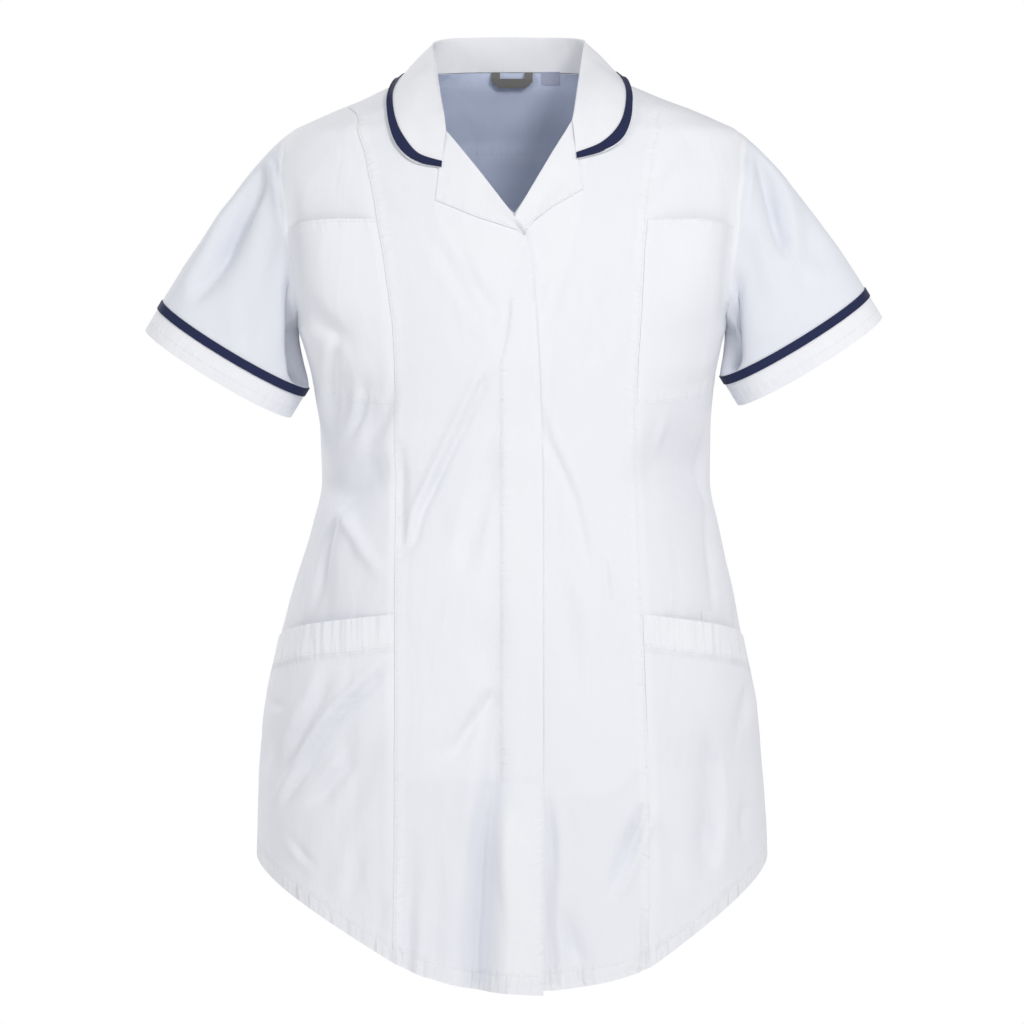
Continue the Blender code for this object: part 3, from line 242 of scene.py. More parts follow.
# Collar: the neck seam, the fold above it and the outer edge of the fall, station by station.
# The neck seam is then drawn to the panels' own edges, and the fall is kept off the shoulders.
Station = namedtuple("Station", "neck fold edge name", defaults=("",))
COLLAR_STATIONS = rows_of(Station,
    ((-59.6, -68.5, -37.5), (-57.6, -71, -36.5), (-61, -81.5, -73.5), "gorge"),
    ((-66, -66, -28), (-60, -63.5, -23), (-84, -75, -69.5)),
    ((-73, -58.5, -18), (-63, -50.5, -8), (-98.5, -65, -57.5)),
    ((-78.5, -49, -9), (-65.5, -36, 7), (-106, -52, -40)),
    ((-83, -36, 0), (-67.5, -21, 20), (-107.5, -33, -18)),
    ((-85, -18, 7), (-69.5, -4, 31), (-103, -12, 0)),
    ((-85, 1, 12), (-70.5, 14, 40), (-97, 10, 9), "shoulder seam"),
    ((-76, 22, 14), (-66, 32, 44.5), (-91, 36, 5)), ((-59, 40, 16), (-53, 46, 47), (-74, 58, 1)),
    ((-34, 51, 17), (-32, 55, 48), (-44, 70, -1)),
    ((-3, 55, 17), (-3, 58, 48.5), (-3, 75, -2), "centre back"),
    ((28, 51, 17), (26, 55, 48), (38, 70, -1)), ((53, 40, 16), (47, 46, 47.5), (68, 58, 1)),
    ((71, 22, 14), (60, 32, 46), (85, 36, 5)),
    ((82, 1, 12), (64.5, 14, 43), (94, 10, 10), "shoulder seam"),
    ((81, -18, 7), (63.5, -4, 34), (100, -12, 1)), ((78, -36, 0), (61.5, -21, 21), (103, -33, -17)),
    ((73, -48, -8), (59.5, -36, 9), (102, -51, -37)),
    ((67, -56, -15), (57.5, -48, -3), (95, -62, -50.5)),
    ((60, -62, -22), (55.5, -59, -15), (79, -71, -60.5)),
    ((54.5, -64, -28.5), (52.6, -67, -28), (56, -78, -66), "gorge"))
COLLAR_FOLD_RADIUS = 1.8
COLLAR_BULGE = 3.5
COLLAR_SEAT = 0.7
COLLAR_STAND_SHARES = (0.0, 0.5, 1.0)
COLLAR_STAND_LEAN = 0.6
COLLAR_FALL_SHARES = (0.0, 0.3, 0.6, 0.82, 1.0)
COLLAR_CLEARANCES = (0.0, 4.5, 3.8, 3.0, 2.6)
COLLAR_TRIM_INSET = 1.3

# Lapels: the roll line, down to its end in the lap, and the lower edge from the lapel's point
LapelCorner = namedtuple("LapelCorner", "across height")
RIGHT_LAPEL_ROLL = rows_of(LapelCorner, (-57, -40), (-25.5, -78.8), (2.2, -115.5), (11.5, -129.5))
RIGHT_LAPEL_EDGE = rows_of(LapelCorner, (-62.5, -101.5), (-31, -114.5), (4.5, -126), (10.6, -131))
LEFT_LAPEL_ROLL = rows_of(LapelCorner, (50.4, -34), (28, -70.8), (1.8, -115.5), (7.5, -128))
LEFT_LAPEL_EDGE = rows_of(LapelCorner, (57.8, -92.5), (35.5, -105.5), (18.5, -118), (13.6, -125))
LAPEL_LIFT = 1.2
LAPEL_ROLL_LIFT = 3.8
LAPEL_UNDER_COLLAR = 4.5

# Small pieces: their sides, top and bottom, how far they lie off the cloth, and the loop's sag
PEN_STRIP = (165, 176, -458, -474)
PEN_STRIP_LIFT = 0.8
INSIDE_LIFT = -PLY - 0.2
LABEL_LIFT = -0.55
HANGING_LOOP = (-18.2, 18.6, 17.2, 4.8)
LOOP_TAPE_DOWN = (0.0, 0.42, 1.0)
LOOP_SLACK = (0.0, 3.4, 4.0)
SIZE_LABEL = (26.2, 42.4, 18, 6.5)

# The creases' depth as a whole, the thickness of the finished cloth, and how far its stitched
# edges and the placket lie above the cloth below
CREASE_DEPTH = 1.75
THIN_CLOTH = 0.45
COLLAR_CLOTH = 0.9
FLUSH = 0.55
PLACKET_LIFT = 1.1
HALF_GAP = 0.02

# The finished cloth's own grid, and the widths that its columns are counted from
ROW_STEP = 2.5
COLUMN_STEP = 2.5
LEFT_FRONT_WIDTH = 124
SIDE_WIDTH = 104
HALF_BACK_WIDTH = 132
PLACKET_FINE_COLUMNS = 14
FRONT_FINE_COLUMNS = 40
YOKE_FINE_COLUMNS = 61
YOKE_FINE_ROWS = 27
SLEEVE_FINE_COLUMNS = 144
SLEEVE_FINE_ROWS = 44
SLEEVE_HEM_STEPS = (2.0, 4.0, 6.0, SLEEVE_TRIM, 12.0, 16.0, 20.0, 24.0, 27.0, SLEEVE_HEM)
NECK_PLACES = 24
COLLAR_FINE = 7
COLLAR_ACROSS = 5
LAPEL_STEPS = 40
LAPEL_ROWS = 12
LOOP_COLUMNS = 31
LOOP_ROWS = 15

# Stitch lines: how far in from the named side each one runs. FRONT_HEM goes from the front
# edge to the princess seam.
FRONT_HEM = (17.0, 12.5)
SIDE_HEM = 12.5
SLEEVE_HEM_LINE = 9.0
CHEST_SEAMS = {"right": (("bottom", 2.0), ("top", 2.5)), "left": (("bottom", 2.0), ("top", 1.0))}
HIP_SEAMS = (("top", 26.4), ("top", 29.0))
STITCH_SPACING = 3.4
STITCH_SIZE = (1.3, 0.26, 0.1)
NO_LINE = 0.05
HEM_FROM = 12

# How far the threads stand out, in metres, and how much darker a single layer of cloth is
THREAD_HEIGHT = 0.00005
SINGLE_LAYER_TINT = 0.26

# Lamps and camera: what they aim at, in metres, and the width of the photo there
BODY_MIDDLE = (0.0, 0.0, -0.37)
LAMP_COLOUR = (1.0, 0.975, 0.935)
SENSOR = 36.0
CAMERA_DISTANCE = 10.0
PHOTO_WIDTH = 0.901

# How much lower a side front lies at its princess seam
SEAM_STEP = {"right": 0.8, "left": 0.35}

# Edges of the facings and of the backing inside the two fronts, as distances and heights
RIGHT_FACING = ((-70, -60), (-66, -112), (-52, -142), (-38, -160), (-30, -185), (-22, -215),
                (-15, -240), (-10, -262), (-10, -800))
LEFT_FACING = ((66, -60), (59, -114), (47, -161), (38, -208), (34, -249), (31, -340), (29, -800))
RIGHT_BACKING = ((-102, -606), (-92, -604), (-19, -604), (0, -604))
LEFT_BACKING = ((0, -619), (42, -619), (80, -615), (96, -609), (112, -587), (120, -572))

Cloth = namedtuple("Cloth", "points normals")


def smooth_table(places, values):
    """A smooth curve through a table, which never swings past its own points."""
    order = np.argsort(places)
    xs = np.array(places, float)[order]
    ys = np.array(values, float)[order]
    steps = np.diff(ys) / np.diff(xs)
    same_way = steps[:-1] * steps[1:] > 0
    total = np.where(same_way, steps[:-1] + steps[1:], 1.0)
    inner = np.where(same_way, 2 * steps[:-1] * steps[1:] / total, 0.0)
    slopes = np.concatenate((steps[:1], inner, steps[-1:]))

    def value(x):
        x = np.asarray(x, float)
        i = np.clip(np.searchsorted(xs, x, side="right") - 1, 0, len(xs) - 2)
        span = xs[i + 1] - xs[i]
        t = np.clip((x - xs[i]) / span, 0.0, 1.0)
        start = (1 + 2 * t) * (1 - t) ** 2 * ys[i] + t * (1 - t) ** 2 * span * slopes[i]
        end = t * t * (3 - 2 * t) * ys[i + 1] + t * t * (t - 1) * span * slopes[i + 1]
        before = np.minimum(x - xs[0], 0.0) * slopes[0]
        beyond = np.maximum(x - xs[-1], 0.0) * slopes[-1]
        return start + end + before + beyond

    return value


def table_column(table, key, value):
    """The curve that one named column of a table gives over another."""
    keys = [getattr(row, key) for row in table]
    return smooth_table(keys, [getattr(row, value) for row in table])


half_width_at = table_column(SECTIONS, "height", "half_width")
front_at = table_column(SECTIONS, "height", "front")
back_at = table_column(SECTIONS, "height", "back")
shift_at = table_column(SECTIONS, "height", "shift")
armhole_turn_at = table_column(ARMHOLE, "height", "turn")
placket_edge_at = table_column(PLACKET_EDGE, "height", "across")
princess_at = {side: table_column(PRINCESS_SEAMS, "height", side) for side in SIDES}
front_edge_at = {side: table_column(FRONT_EDGES, "height", side) for side in SIDES}


def mix(start, end, share):
    return start + (end - start) * share


def smooth_step(value):
    value = np.clip(value, 0.0, 1.0)
    return value * value * (3 - 2 * value)


def unit(vectors):
    return vectors / np.maximum(np.linalg.norm(vectors, axis=-1, keepdims=True), 1e-9)


def body_point(turn, height):
    """Places on the body."""
    turn, height = np.broadcast_arrays(np.asarray(turn, float), np.asarray(height, float))
    sine = np.sin(np.radians(turn))
    cosine = np.cos(np.radians(turn))
    across = half_width_at(height) * np.copysign(np.abs(sine) ** ROUNDNESS, sine)
    depth = np.where(cosine > 0, -front_at(height), back_at(height))
    return np.stack((shift_at(height) + across, depth * np.abs(cosine) ** ROUNDNESS, height), -1)


def body_normal(turn, height):
    """The directions out of the cloth there."""
    around = body_point(turn + TURN_STEP, height) - body_point(turn - TURN_STEP, height)
    up = body_point(turn, height + HEIGHT_STEP) - body_point(turn, height - HEIGHT_STEP)
    return unit(np.cross(around, up))


def turn_in_front(across, height):
    """The turn of a place on the front that lies so far across."""
    share = np.clip((across - shift_at(height)) / half_width_at(height), -1.0, 1.0)
    return np.degrees(np.arcsin(np.copysign(np.abs(share) ** (1 / ROUNDNESS), share)))


def wander(across, height, spacing):
    """A slow uneven swing between -1 and 1, which keeps the creases from looking ruled."""
    a = across / spacing
    h = height / spacing
    return (np.sin(a + 1.7 * np.sin(0.61 * h + 0.4))
            + np.sin(0.83 * h + 1.9 * np.sin(0.47 * a + 2.1)) + np.sin(0.59 * (a + h) + 0.9)) / 3


def fold_depth(folds, across, height):
    """How far the folds move the cloth out there. A lean raises a ridge along one side."""
    depth = np.zeros(np.broadcast(across, height).shape)
    for fold in folds:
        nearest = np.full(depth.shape, np.inf)
        middle = np.zeros(depth.shape)
        signed = np.zeros(depth.shape)
        for start, end in zip(fold.points, fold.points[1:]):
            way_x = end.across - start.across
            way_z = end.height - start.height
            length = math.hypot(way_x, way_z)
            x = across - start.across
            z = height - start.height
            share = np.clip((x * way_x + z * way_z) / length ** 2, 0.0, 1.0)
            gap = np.hypot(x - share * way_x, z - share * way_z)
            closer = gap < nearest
            nearest = np.where(closer, gap, nearest)
            middle = np.where(closer, mix(start.depth, end.depth, smooth_step(share)), middle)
            side = np.sign(x * way_z - z * way_x)
            signed = np.where(closer, gap * side, signed)
        depth += middle * np.exp(-(nearest / fold.width) ** 2)
        if fold.lean:
            ridge = (signed * math.copysign(1, fold.lean) - 1.6 * fold.width) / (1.1 * fold.width)
            depth -= middle * abs(fold.lean) * np.exp(-ridge ** 2)
    return depth


def cloth_places(turn, height, more_folds=()):
    """Places on the cloth and their normals, with the folds and creases in it."""
    turn, height = np.broadcast_arrays(turn, height)
    point = body_point(turn, height)
    across = point[..., 0]
    normal = body_normal(turn, height)
    shaken = across + 1.3 * wander(across, height, 11.0)
    front = fold_depth(FRONT_FOLDS + more_folds, across, height)
    front += CREASE_DEPTH * fold_depth(FRONT_CREASES, shaken, height)
    back = fold_depth(BACK_FOLDS, across, height)
    back += CREASE_DEPTH * fold_depth(BACK_CREASES, shaken, height)
    fade = smooth_step(np.abs(90 - np.abs(turn)) / FOLD_FADE)
    depth = np.where(np.abs(turn) < 90, front, back) * fade
    depth += 0.35 * wander(across, height, 16.0) + 0.16 * wander(height, across, 6.5)
    return Cloth(point + normal * depth[..., None], normal)


def finer_rows(rows, first=0, last=None, step=ROW_STEP):
    """Rows at the finished spacing, from the rows of the pattern."""
    table = np.array([(*start, *end, bow) for start, end, bow in rows], float)
    last = len(table) - 1 if last is None else last
    places = []
    for number in range(first, last):
        drop = np.abs(table[number + 1, [1, 3]] - table[number, [1, 3]]).max()
        count = max(1, round(drop / step))
        places.extend(number + np.arange(count) / count)
    places.append(last)
    numbers = np.arange(len(table))
    return np.stack([smooth_table(numbers, column)(places) for column in table.T], -1)


def panel_cloth(rows, shares, more_folds=()):
    """Cloth between the two ends of each row."""
    start_turn, start_height, end_turn, end_height, bow = (column[:, None] for column in rows.T)
    turn = mix(start_turn, end_turn, shares)
    height = mix(start_height, end_height, shares) + bow * 4 * shares * (1 - shares)
    return cloth_places(turn, height, more_folds)


def even_shares(width):
    return np.linspace(0.0, 1.0, max(2, round(width / COLUMN_STEP) + 1))[None, :]


def lifted(cloth, lift):
    """The cloth moved out by a lift, which may be a number or one for each place."""
    lift = np.broadcast_to(np.asarray(lift, float), cloth.points.shape[:2])
    return Cloth(cloth.points + cloth.normals * lift[..., None], cloth.normals)


def trimmed(cloth, sides, amount):
    """The cloth with its named sides drawn in, so that a seam keeps its gap."""
    points = cloth.points.copy()
    if "start" in sides:
        points[:, 0] += unit(points[:, 1] - points[:, 0]) * amount
    if "end" in sides:
        points[:, -1] += unit(points[:, -2] - points[:, -1]) * amount
    if "top" in sides:
        points[0] += unit(points[1] - points[0]) * amount
    if "bottom" in sides:
        points[-1] += unit(points[-2] - points[-1]) * amount
    return Cloth(points, cloth.normals)


def row_number(rows, name):
    return next(number for number, row in enumerate(rows) if row.name == name)


def front_rows(side):
    """The rows of the centre and the side front, from the front edge out to the side."""
    sign = -1 if side == "right" else 1
    centre = []
    outer = []
    for number, row in enumerate(FRONT_ROWS):
        at_left_hem = side == "left" and row.name in ("hem fold", "hem edge")
        rise = LEFT_HEM_RISE if at_left_hem else 0
        drop = LEFT_HEM_DROP if at_left_hem else 0
        edge_turn = float(turn_in_front(front_edge_at[side](row.edge), row.edge))
        seam_turn = float(turn_in_front(princess_at[side](row.princess), row.princess))
        edge = (edge_turn, row.edge + rise)
        seam = (seam_turn, row.princess - drop)
        if number == 0:
            edge = (sign * 90, row.edge)
            seam = (sign * 90, PRINCESS_AT_SHOULDER[side])
        out = (sign * float(armhole_turn_at(row.side)) if row.side > UNDERARM else sign * 90, row.side)
        centre.append((edge, seam, row.edge_bow))
        outer.append((seam, out, row.side_bow))
    return centre, outer


def back_rows():
    """The rows of a side back, from the side to the princess seam, and of the centre back."""
    side = []
    centre = []
    for row in BACK_ROWS:
        out = (180 - float(armhole_turn_at(row.side)) if row.side > UNDERARM else 90, row.side)
        seam = (180 - BACK_PRINCESS_TURN, row.princess)
        side.append((out, seam, row.side_bow))
        centre.append((seam, (180, row.centre), row.centre_bow))
    return side, centre


def mirrored_turns(rows):
    return [((-start[0], start[1]), (-end[0], end[1]), bow) for start, end, bow in rows]


def under_lap(cloth):
    """How far the left front lies lower, under the right one."""
    beyond = cloth.points[..., 0] - front_edge_at["right"](cloth.points[..., 2])
    return -LAP_DROP * smooth_step((LAP_BLEND_END - beyond) / (LAP_BLEND_END - LAP_BLEND_START))


def right_front_shares(rows):
    """The right front's columns follow the placket's stitched edge."""
    edge = rows[:, 1]
    stitched = turn_in_front(placket_edge_at(edge), edge)
    followed = (stitched - rows[:, 0]) / np.minimum(rows[:, 2] - rows[:, 0], -1e-6)
    above = smooth_step((PLACKET_EDGE[0].height + PLACKET_BLEND - edge) / PLACKET_BLEND)
    width = mix(PLACKET_SHARE_ABOVE, followed, above)[:, None]
    inner = np.linspace(0.0, 1.0, PLACKET_FINE_COLUMNS + 1)[None, :]
    outer = np.linspace(0.0, 1.0, FRONT_FINE_COLUMNS + 1)[None, 1:]
    return np.concatenate((width * inner, mix(width, 1.0, outer)), axis=1)


def yoke_top(share):
    """Places on the yoke's upper edge: the shoulder seam, then the back neck seam."""
    neck = FRONT_ROWS[0].edge
    along = np.maximum(0.0, (share - SHOULDER_SHARE_OF_YOKE) / (1 - SHOULDER_SHARE_OF_YOKE))
    on_shoulder = share <= SHOULDER_SHARE_OF_YOKE
    turn = np.where(on_shoulder, 90, mix(90, 180, along))
    shoulder = mix(FRONT_ROWS[0].side, neck, share / SHOULDER_SHARE_OF_YOKE)
    behind = mix(neck, BACK_NECK_TOP, np.sin(math.pi / 2 * along))
    return turn, np.where(on_shoulder, shoulder, behind)


def yoke_cloth():
    """The yoke, from the left armhole over the back to the right one."""
    side_height, seam_height = BACK_ROWS[0].side, BACK_ROWS[0].princess
    share = np.linspace(0.0, 1.0, YOKE_FINE_COLUMNS)[None, :]
    down = np.linspace(0.0, 1.0, YOKE_FINE_ROWS)[:, None]
    top_turn, top_height = yoke_top(share)
    armhole_turn = 180 - float(armhole_turn_at(side_height))
    low_turn = mix(armhole_turn, 180, share)
    along = np.minimum(1.0, (low_turn - armhole_turn) / (180 - BACK_PRINCESS_TURN - armhole_turn))
    turn = mix(top_turn, low_turn, down)
    height = mix(top_height, mix(side_height, seam_height, along), down)
    side = mix(FRONT_ROWS[0].side, FRONT_ROWS[2].side, down[:, 0])
    height[:, 0] = side
    turn[:, 0] = 180 - armhole_turn_at(side)
    left = cloth_places(turn, height)
    right = cloth_places(-turn[:, -2::-1], height[:, -2::-1])
    return Cloth(*(np.concatenate(pair, axis=1) for pair in zip(left, right)))


def curve_lengths(points):
    """How far along a line of points each one lies."""
    steps = np.linalg.norm(np.diff(points, axis=0), axis=-1)
    return np.concatenate(([0.0], np.cumsum(steps)))


def at_lengths(places, lengths, values):
    """The values that a line of points has so far along it."""
    return np.stack([np.interp(places, lengths, column) for column in values.T], -1)


def armhole_loop(sign, count):
    """Even places round an armhole: from under the arm up the front, then down the back."""
    heights = smooth_table(range(len(ARMHOLE)), [row.height for row in ARMHOLE])
    top = len(ARMHOLE) - 1
    place = np.linspace(0.0, 2 * top, 12 * count + 1)
    height = heights(np.abs(place - top))
    turn = armhole_turn_at(height)
    turn = np.where(place <= top, turn, 180 - turn) * sign
    loop = cloth_places(turn, height)
    shares = curve_lengths(loop.points)
    shares /= shares[-1]
    even = np.linspace(0.0, 1.0, count + 1)
    points, normals = (at_lengths(even, shares, line) for line in loop)
    return Cloth(points, unit(normals)), even


def sleeve_end(ring, sign, share, beyond):
    """Places on the sleeve at the trim, or further down its hem."""
    outer = np.array((ring.outer_x, ring.middle_y, ring.outer_z))
    inner = np.array((ring.inner_x, ring.middle_y, ring.inner_z))
    along = inner - outer
    down = unit(np.array((along[2], 0, -along[0]))) * -sign
    angle = 2 * math.pi * share
    point = (outer + inner) / 2 + along / 2 * np.cos(angle)[:, None]
    point[:, 1] -= ring.half_depth * np.sin(angle)
    bow = SLEEVE_FRONT_BOW * np.maximum(0.0, np.sin(angle))
    return point + down * (beyond + bow)[:, None], down


def tube_normals(lines):
    """Normals of a tube of closed rings whose last place repeats the first."""
    rings = lines[:, :-1]
    around = np.roll(rings, -1, axis=1) - np.roll(rings, 1, axis=1)
    along = np.gradient(rings, axis=0)
    normal = unit(np.cross(around, along))
    out = rings - rings.mean(axis=1, keepdims=True)
    normal *= np.sign((normal * out).sum(-1, keepdims=True))
    return np.concatenate((normal, normal[:, :1]), axis=1)


def sleeve_cloth(ring, sign, folds, creases):
    """Rings from the armhole to the hem edge, and the number of the ring at the trim's top."""
    loop, share = armhole_loop(sign, SLEEVE_FINE_COLUMNS)
    top = ((1 - np.cos(2 * math.pi * share)) / 2)[:, None]
    end, down = sleeve_end(ring, sign, share, 0)
    spring = np.array((sign * SLEEVE_SPRINGS_OUT.x, 0, SLEEVE_SPRINGS_OUT.z))
    outward = unit(spring * top + np.array((0, 0, -1)) * (1 - top))
    pull = mix(SLEEVE_UNDER_PULL, SLEEVE_TOP_PULL, top)
    origin = loop.points + loop.normals * SLEEVE_OFF_SEAM[0] + outward * SLEEVE_OFF_SEAM[1]
    arrive = mix(np.array((-sign * SLEEVE_HANGS_IN, 0, -1)), down, smooth_step(top * 3))
    spread = np.linalg.norm(end - origin, axis=-1, keepdims=True) * SLEEVE_END_PULL
    lines = []
    for t in np.linspace(0.0, 1.0, SLEEVE_FINE_ROWS + 1):
        lines.append((1 + 2 * t) * (1 - t) ** 2 * origin + t * (1 - t) ** 2 * outward * pull
                     + t * t * (3 - 2 * t) * end + t * t * (t - 1) * arrive * spread)
    for beyond in SLEEVE_HEM_STEPS:
        lines.append(sleeve_end(ring, sign, share, beyond)[0])
    lines = np.array(lines)
    lines[:, -1] = lines[:, 0]
    normals = tube_normals(lines)
    across, height = lines[..., 0], lines[..., 2]
    t = np.clip(np.arange(len(lines)) / SLEEVE_FINE_ROWS, 0, 1)[:, None]
    fade = np.minimum(1.0, np.minimum(t, 1 - t) * SLEEVE_ROWS)
    side = smooth_step(np.abs(lines[..., 1] - ring.middle_y) / SLEEVE_FOLD_FADE)
    depth = fold_depth(folds, across, height)
    shaken = across + 1.3 * wander(across, height, 11.0)
    depth = (depth + CREASE_DEPTH * fold_depth(creases, shaken, height)) * side * fade
    depth += (0.5 * wander(across, height, 15.0) + 0.2 * wander(height, across, 6.0)) * fade
    return Cloth(lines + normals * depth[..., None], normals)


def neck_seam():
    """The upper edges of the fronts and the yoke, as one line of places round the neck."""
    edges = np.linspace(FRONT_ROWS[1].edge, FRONT_ROWS[5].edge, NECK_PLACES)
    sides = {side: cloth_places(turn_in_front(front_edge_at[side](edges), edges), edges).points
             for side in SIDES}
    turn, height = yoke_top(np.linspace(SHOULDER_SHARE_OF_YOKE, 1.0, NECK_PLACES))
    left = cloth_places(turn, height).points
    right = cloth_places(-turn, height).points
    return np.concatenate((sides["right"][::-1], right, left[-2::-1], sides["left"]))


def nearest_on_line(point, line):
    start, way = line[:-1], np.diff(line, axis=0)
    share = ((point - start) * way).sum(-1) / np.maximum((way ** 2).sum(-1), 1e-9)
    places = start + way * np.clip(share, 0.0, 1.0)[:, None]
    return places[np.linalg.norm(places - point, axis=-1).argmin()]


def kept_clear(point, clearance):
    """The point, moved out of the body until it lies so far off the cloth."""
    turn = math.degrees(math.atan2(point[0] - shift_at(point[2]), -point[1]))
    height = min(point[2], 10.0)
    around = np.linspace(-24, 24, 33)
    turns, heights = np.meshgrid(around + turn, around + height)
    places = body_point(turns, heights)
    best = np.unravel_index(np.linalg.norm(places - point, axis=-1).argmin(), turns.shape)
    normal = body_normal(turns[best], heights[best])
    away = (point - places[best]) @ normal
    return point + normal * (clearance - away) if away < clearance else point


def collar_profile(station, seam_line):
    """Points across the collar, from the neck seam over the fold to the edge of the fall."""
    neck, fold, edge = (np.array(place, float) for place in station[:3])
    neck = nearest_on_line(neck, seam_line)
    neck = neck + unit(fold - neck) * COLLAR_SEAT
    away = unit((edge - neck) * (1, 1, 0))
    radius = COLLAR_FOLD_RADIUS
    low_fold = fold - (0, 0, radius)
    inner_top = low_fold - away * radius * COLLAR_STAND_LEAN
    outer_top = low_fold + away * radius
    profile = [mix(neck, inner_top, share) for share in COLLAR_STAND_SHARES]
    profile.append(fold)
    fall = edge - outer_top
    side = unit(np.cross(np.cross(fall, away), fall))
    side = side if side @ away > 0 else -side
    for share, clearance in zip(COLLAR_FALL_SHARES, COLLAR_CLEARANCES):
        place = outer_top + fall * share + side * COLLAR_BULGE * math.sin(math.pi * share)
        profile.append(kept_clear(place, clearance) if clearance else place)
    return np.array(profile)


def smooth_line(points, extra):
    """More places between the given ones, along the first axis, on smooth lines."""
    before = np.concatenate((points[:1], points[:-2]))
    after = np.concatenate((points[2:], points[-1:]))
    start, end = points[:-1], points[1:]
    result = []
    for step in range(extra):
        t = step / extra
        result.append(0.5 * (2 * start + (end - before) * t
                             + (2 * before - 5 * start + 4 * end - after) * t * t
                             + (3 * start - before - 3 * end + after) * t ** 3))
    stacked = np.stack(result, axis=1).reshape(-1, *points.shape[1:])
    return np.concatenate((stacked, points[-1:]))


def strip_normals(points, outside):
    """Normals of an open strip, turned towards the side that outside names."""
    along = np.gradient(points, axis=0)
    across = np.gradient(points, axis=1)
    return unit(np.cross(across, along)) * outside


def collar_cloth():
    seam_line = neck_seam()
    profiles = np.array([collar_profile(station, seam_line) for station in COLLAR_STATIONS])
    lines = smooth_line(profiles, COLLAR_FINE)
    points = smooth_line(lines.transpose(1, 0, 2), COLLAR_ACROSS).transpose(1, 0, 2)
    return Cloth(points, strip_normals(points, -1))


def polyline(points, count):
    """Evenly spaced places along straight stretches."""
    places = np.array(points, float)
    lengths = curve_lengths(places)
    even = np.linspace(0.0, lengths[-1], count + 1)
    return at_lengths(even, lengths, places)


def lapel_cloth(roll, edge, low_end):
    """A lapel lies on its front and rises a little at the roll line."""
    roll_line = polyline(roll, LAPEL_STEPS)
    edge_line = polyline(edge, LAPEL_STEPS)
    share = np.linspace(0.0, 1.0, LAPEL_ROWS)[:, None, None]
    place = mix(roll_line[None], edge_line[None], share)
    across, height = place[..., 0], place[..., 1]
    cloth = cloth_places(turn_in_front(across, height), height)
    lift = mix(LAPEL_ROLL_LIFT, LAPEL_LIFT, smooth_step(share[..., 0] * 1.5))
    lift = lift * mix(1.0, low_end, smooth_step(np.linspace(-4, 1, LAPEL_STEPS + 1)))
    return trimmed(lifted(cloth, lift), ("start",), -LAPEL_UNDER_COLLAR)


def patch_cloth(box, across_count, down_count, in_front):
    """A small flat piece on the inside of the yoke or on the outside of a front."""
    low_x, high_x, top, bottom = box
    height = np.linspace(top, bottom, down_count)[:, None]
    across = np.linspace(low_x, high_x, across_count)[None, :]
    turn = turn_in_front(across, height)
    return cloth_places(turn if in_front else 180 - turn, height)


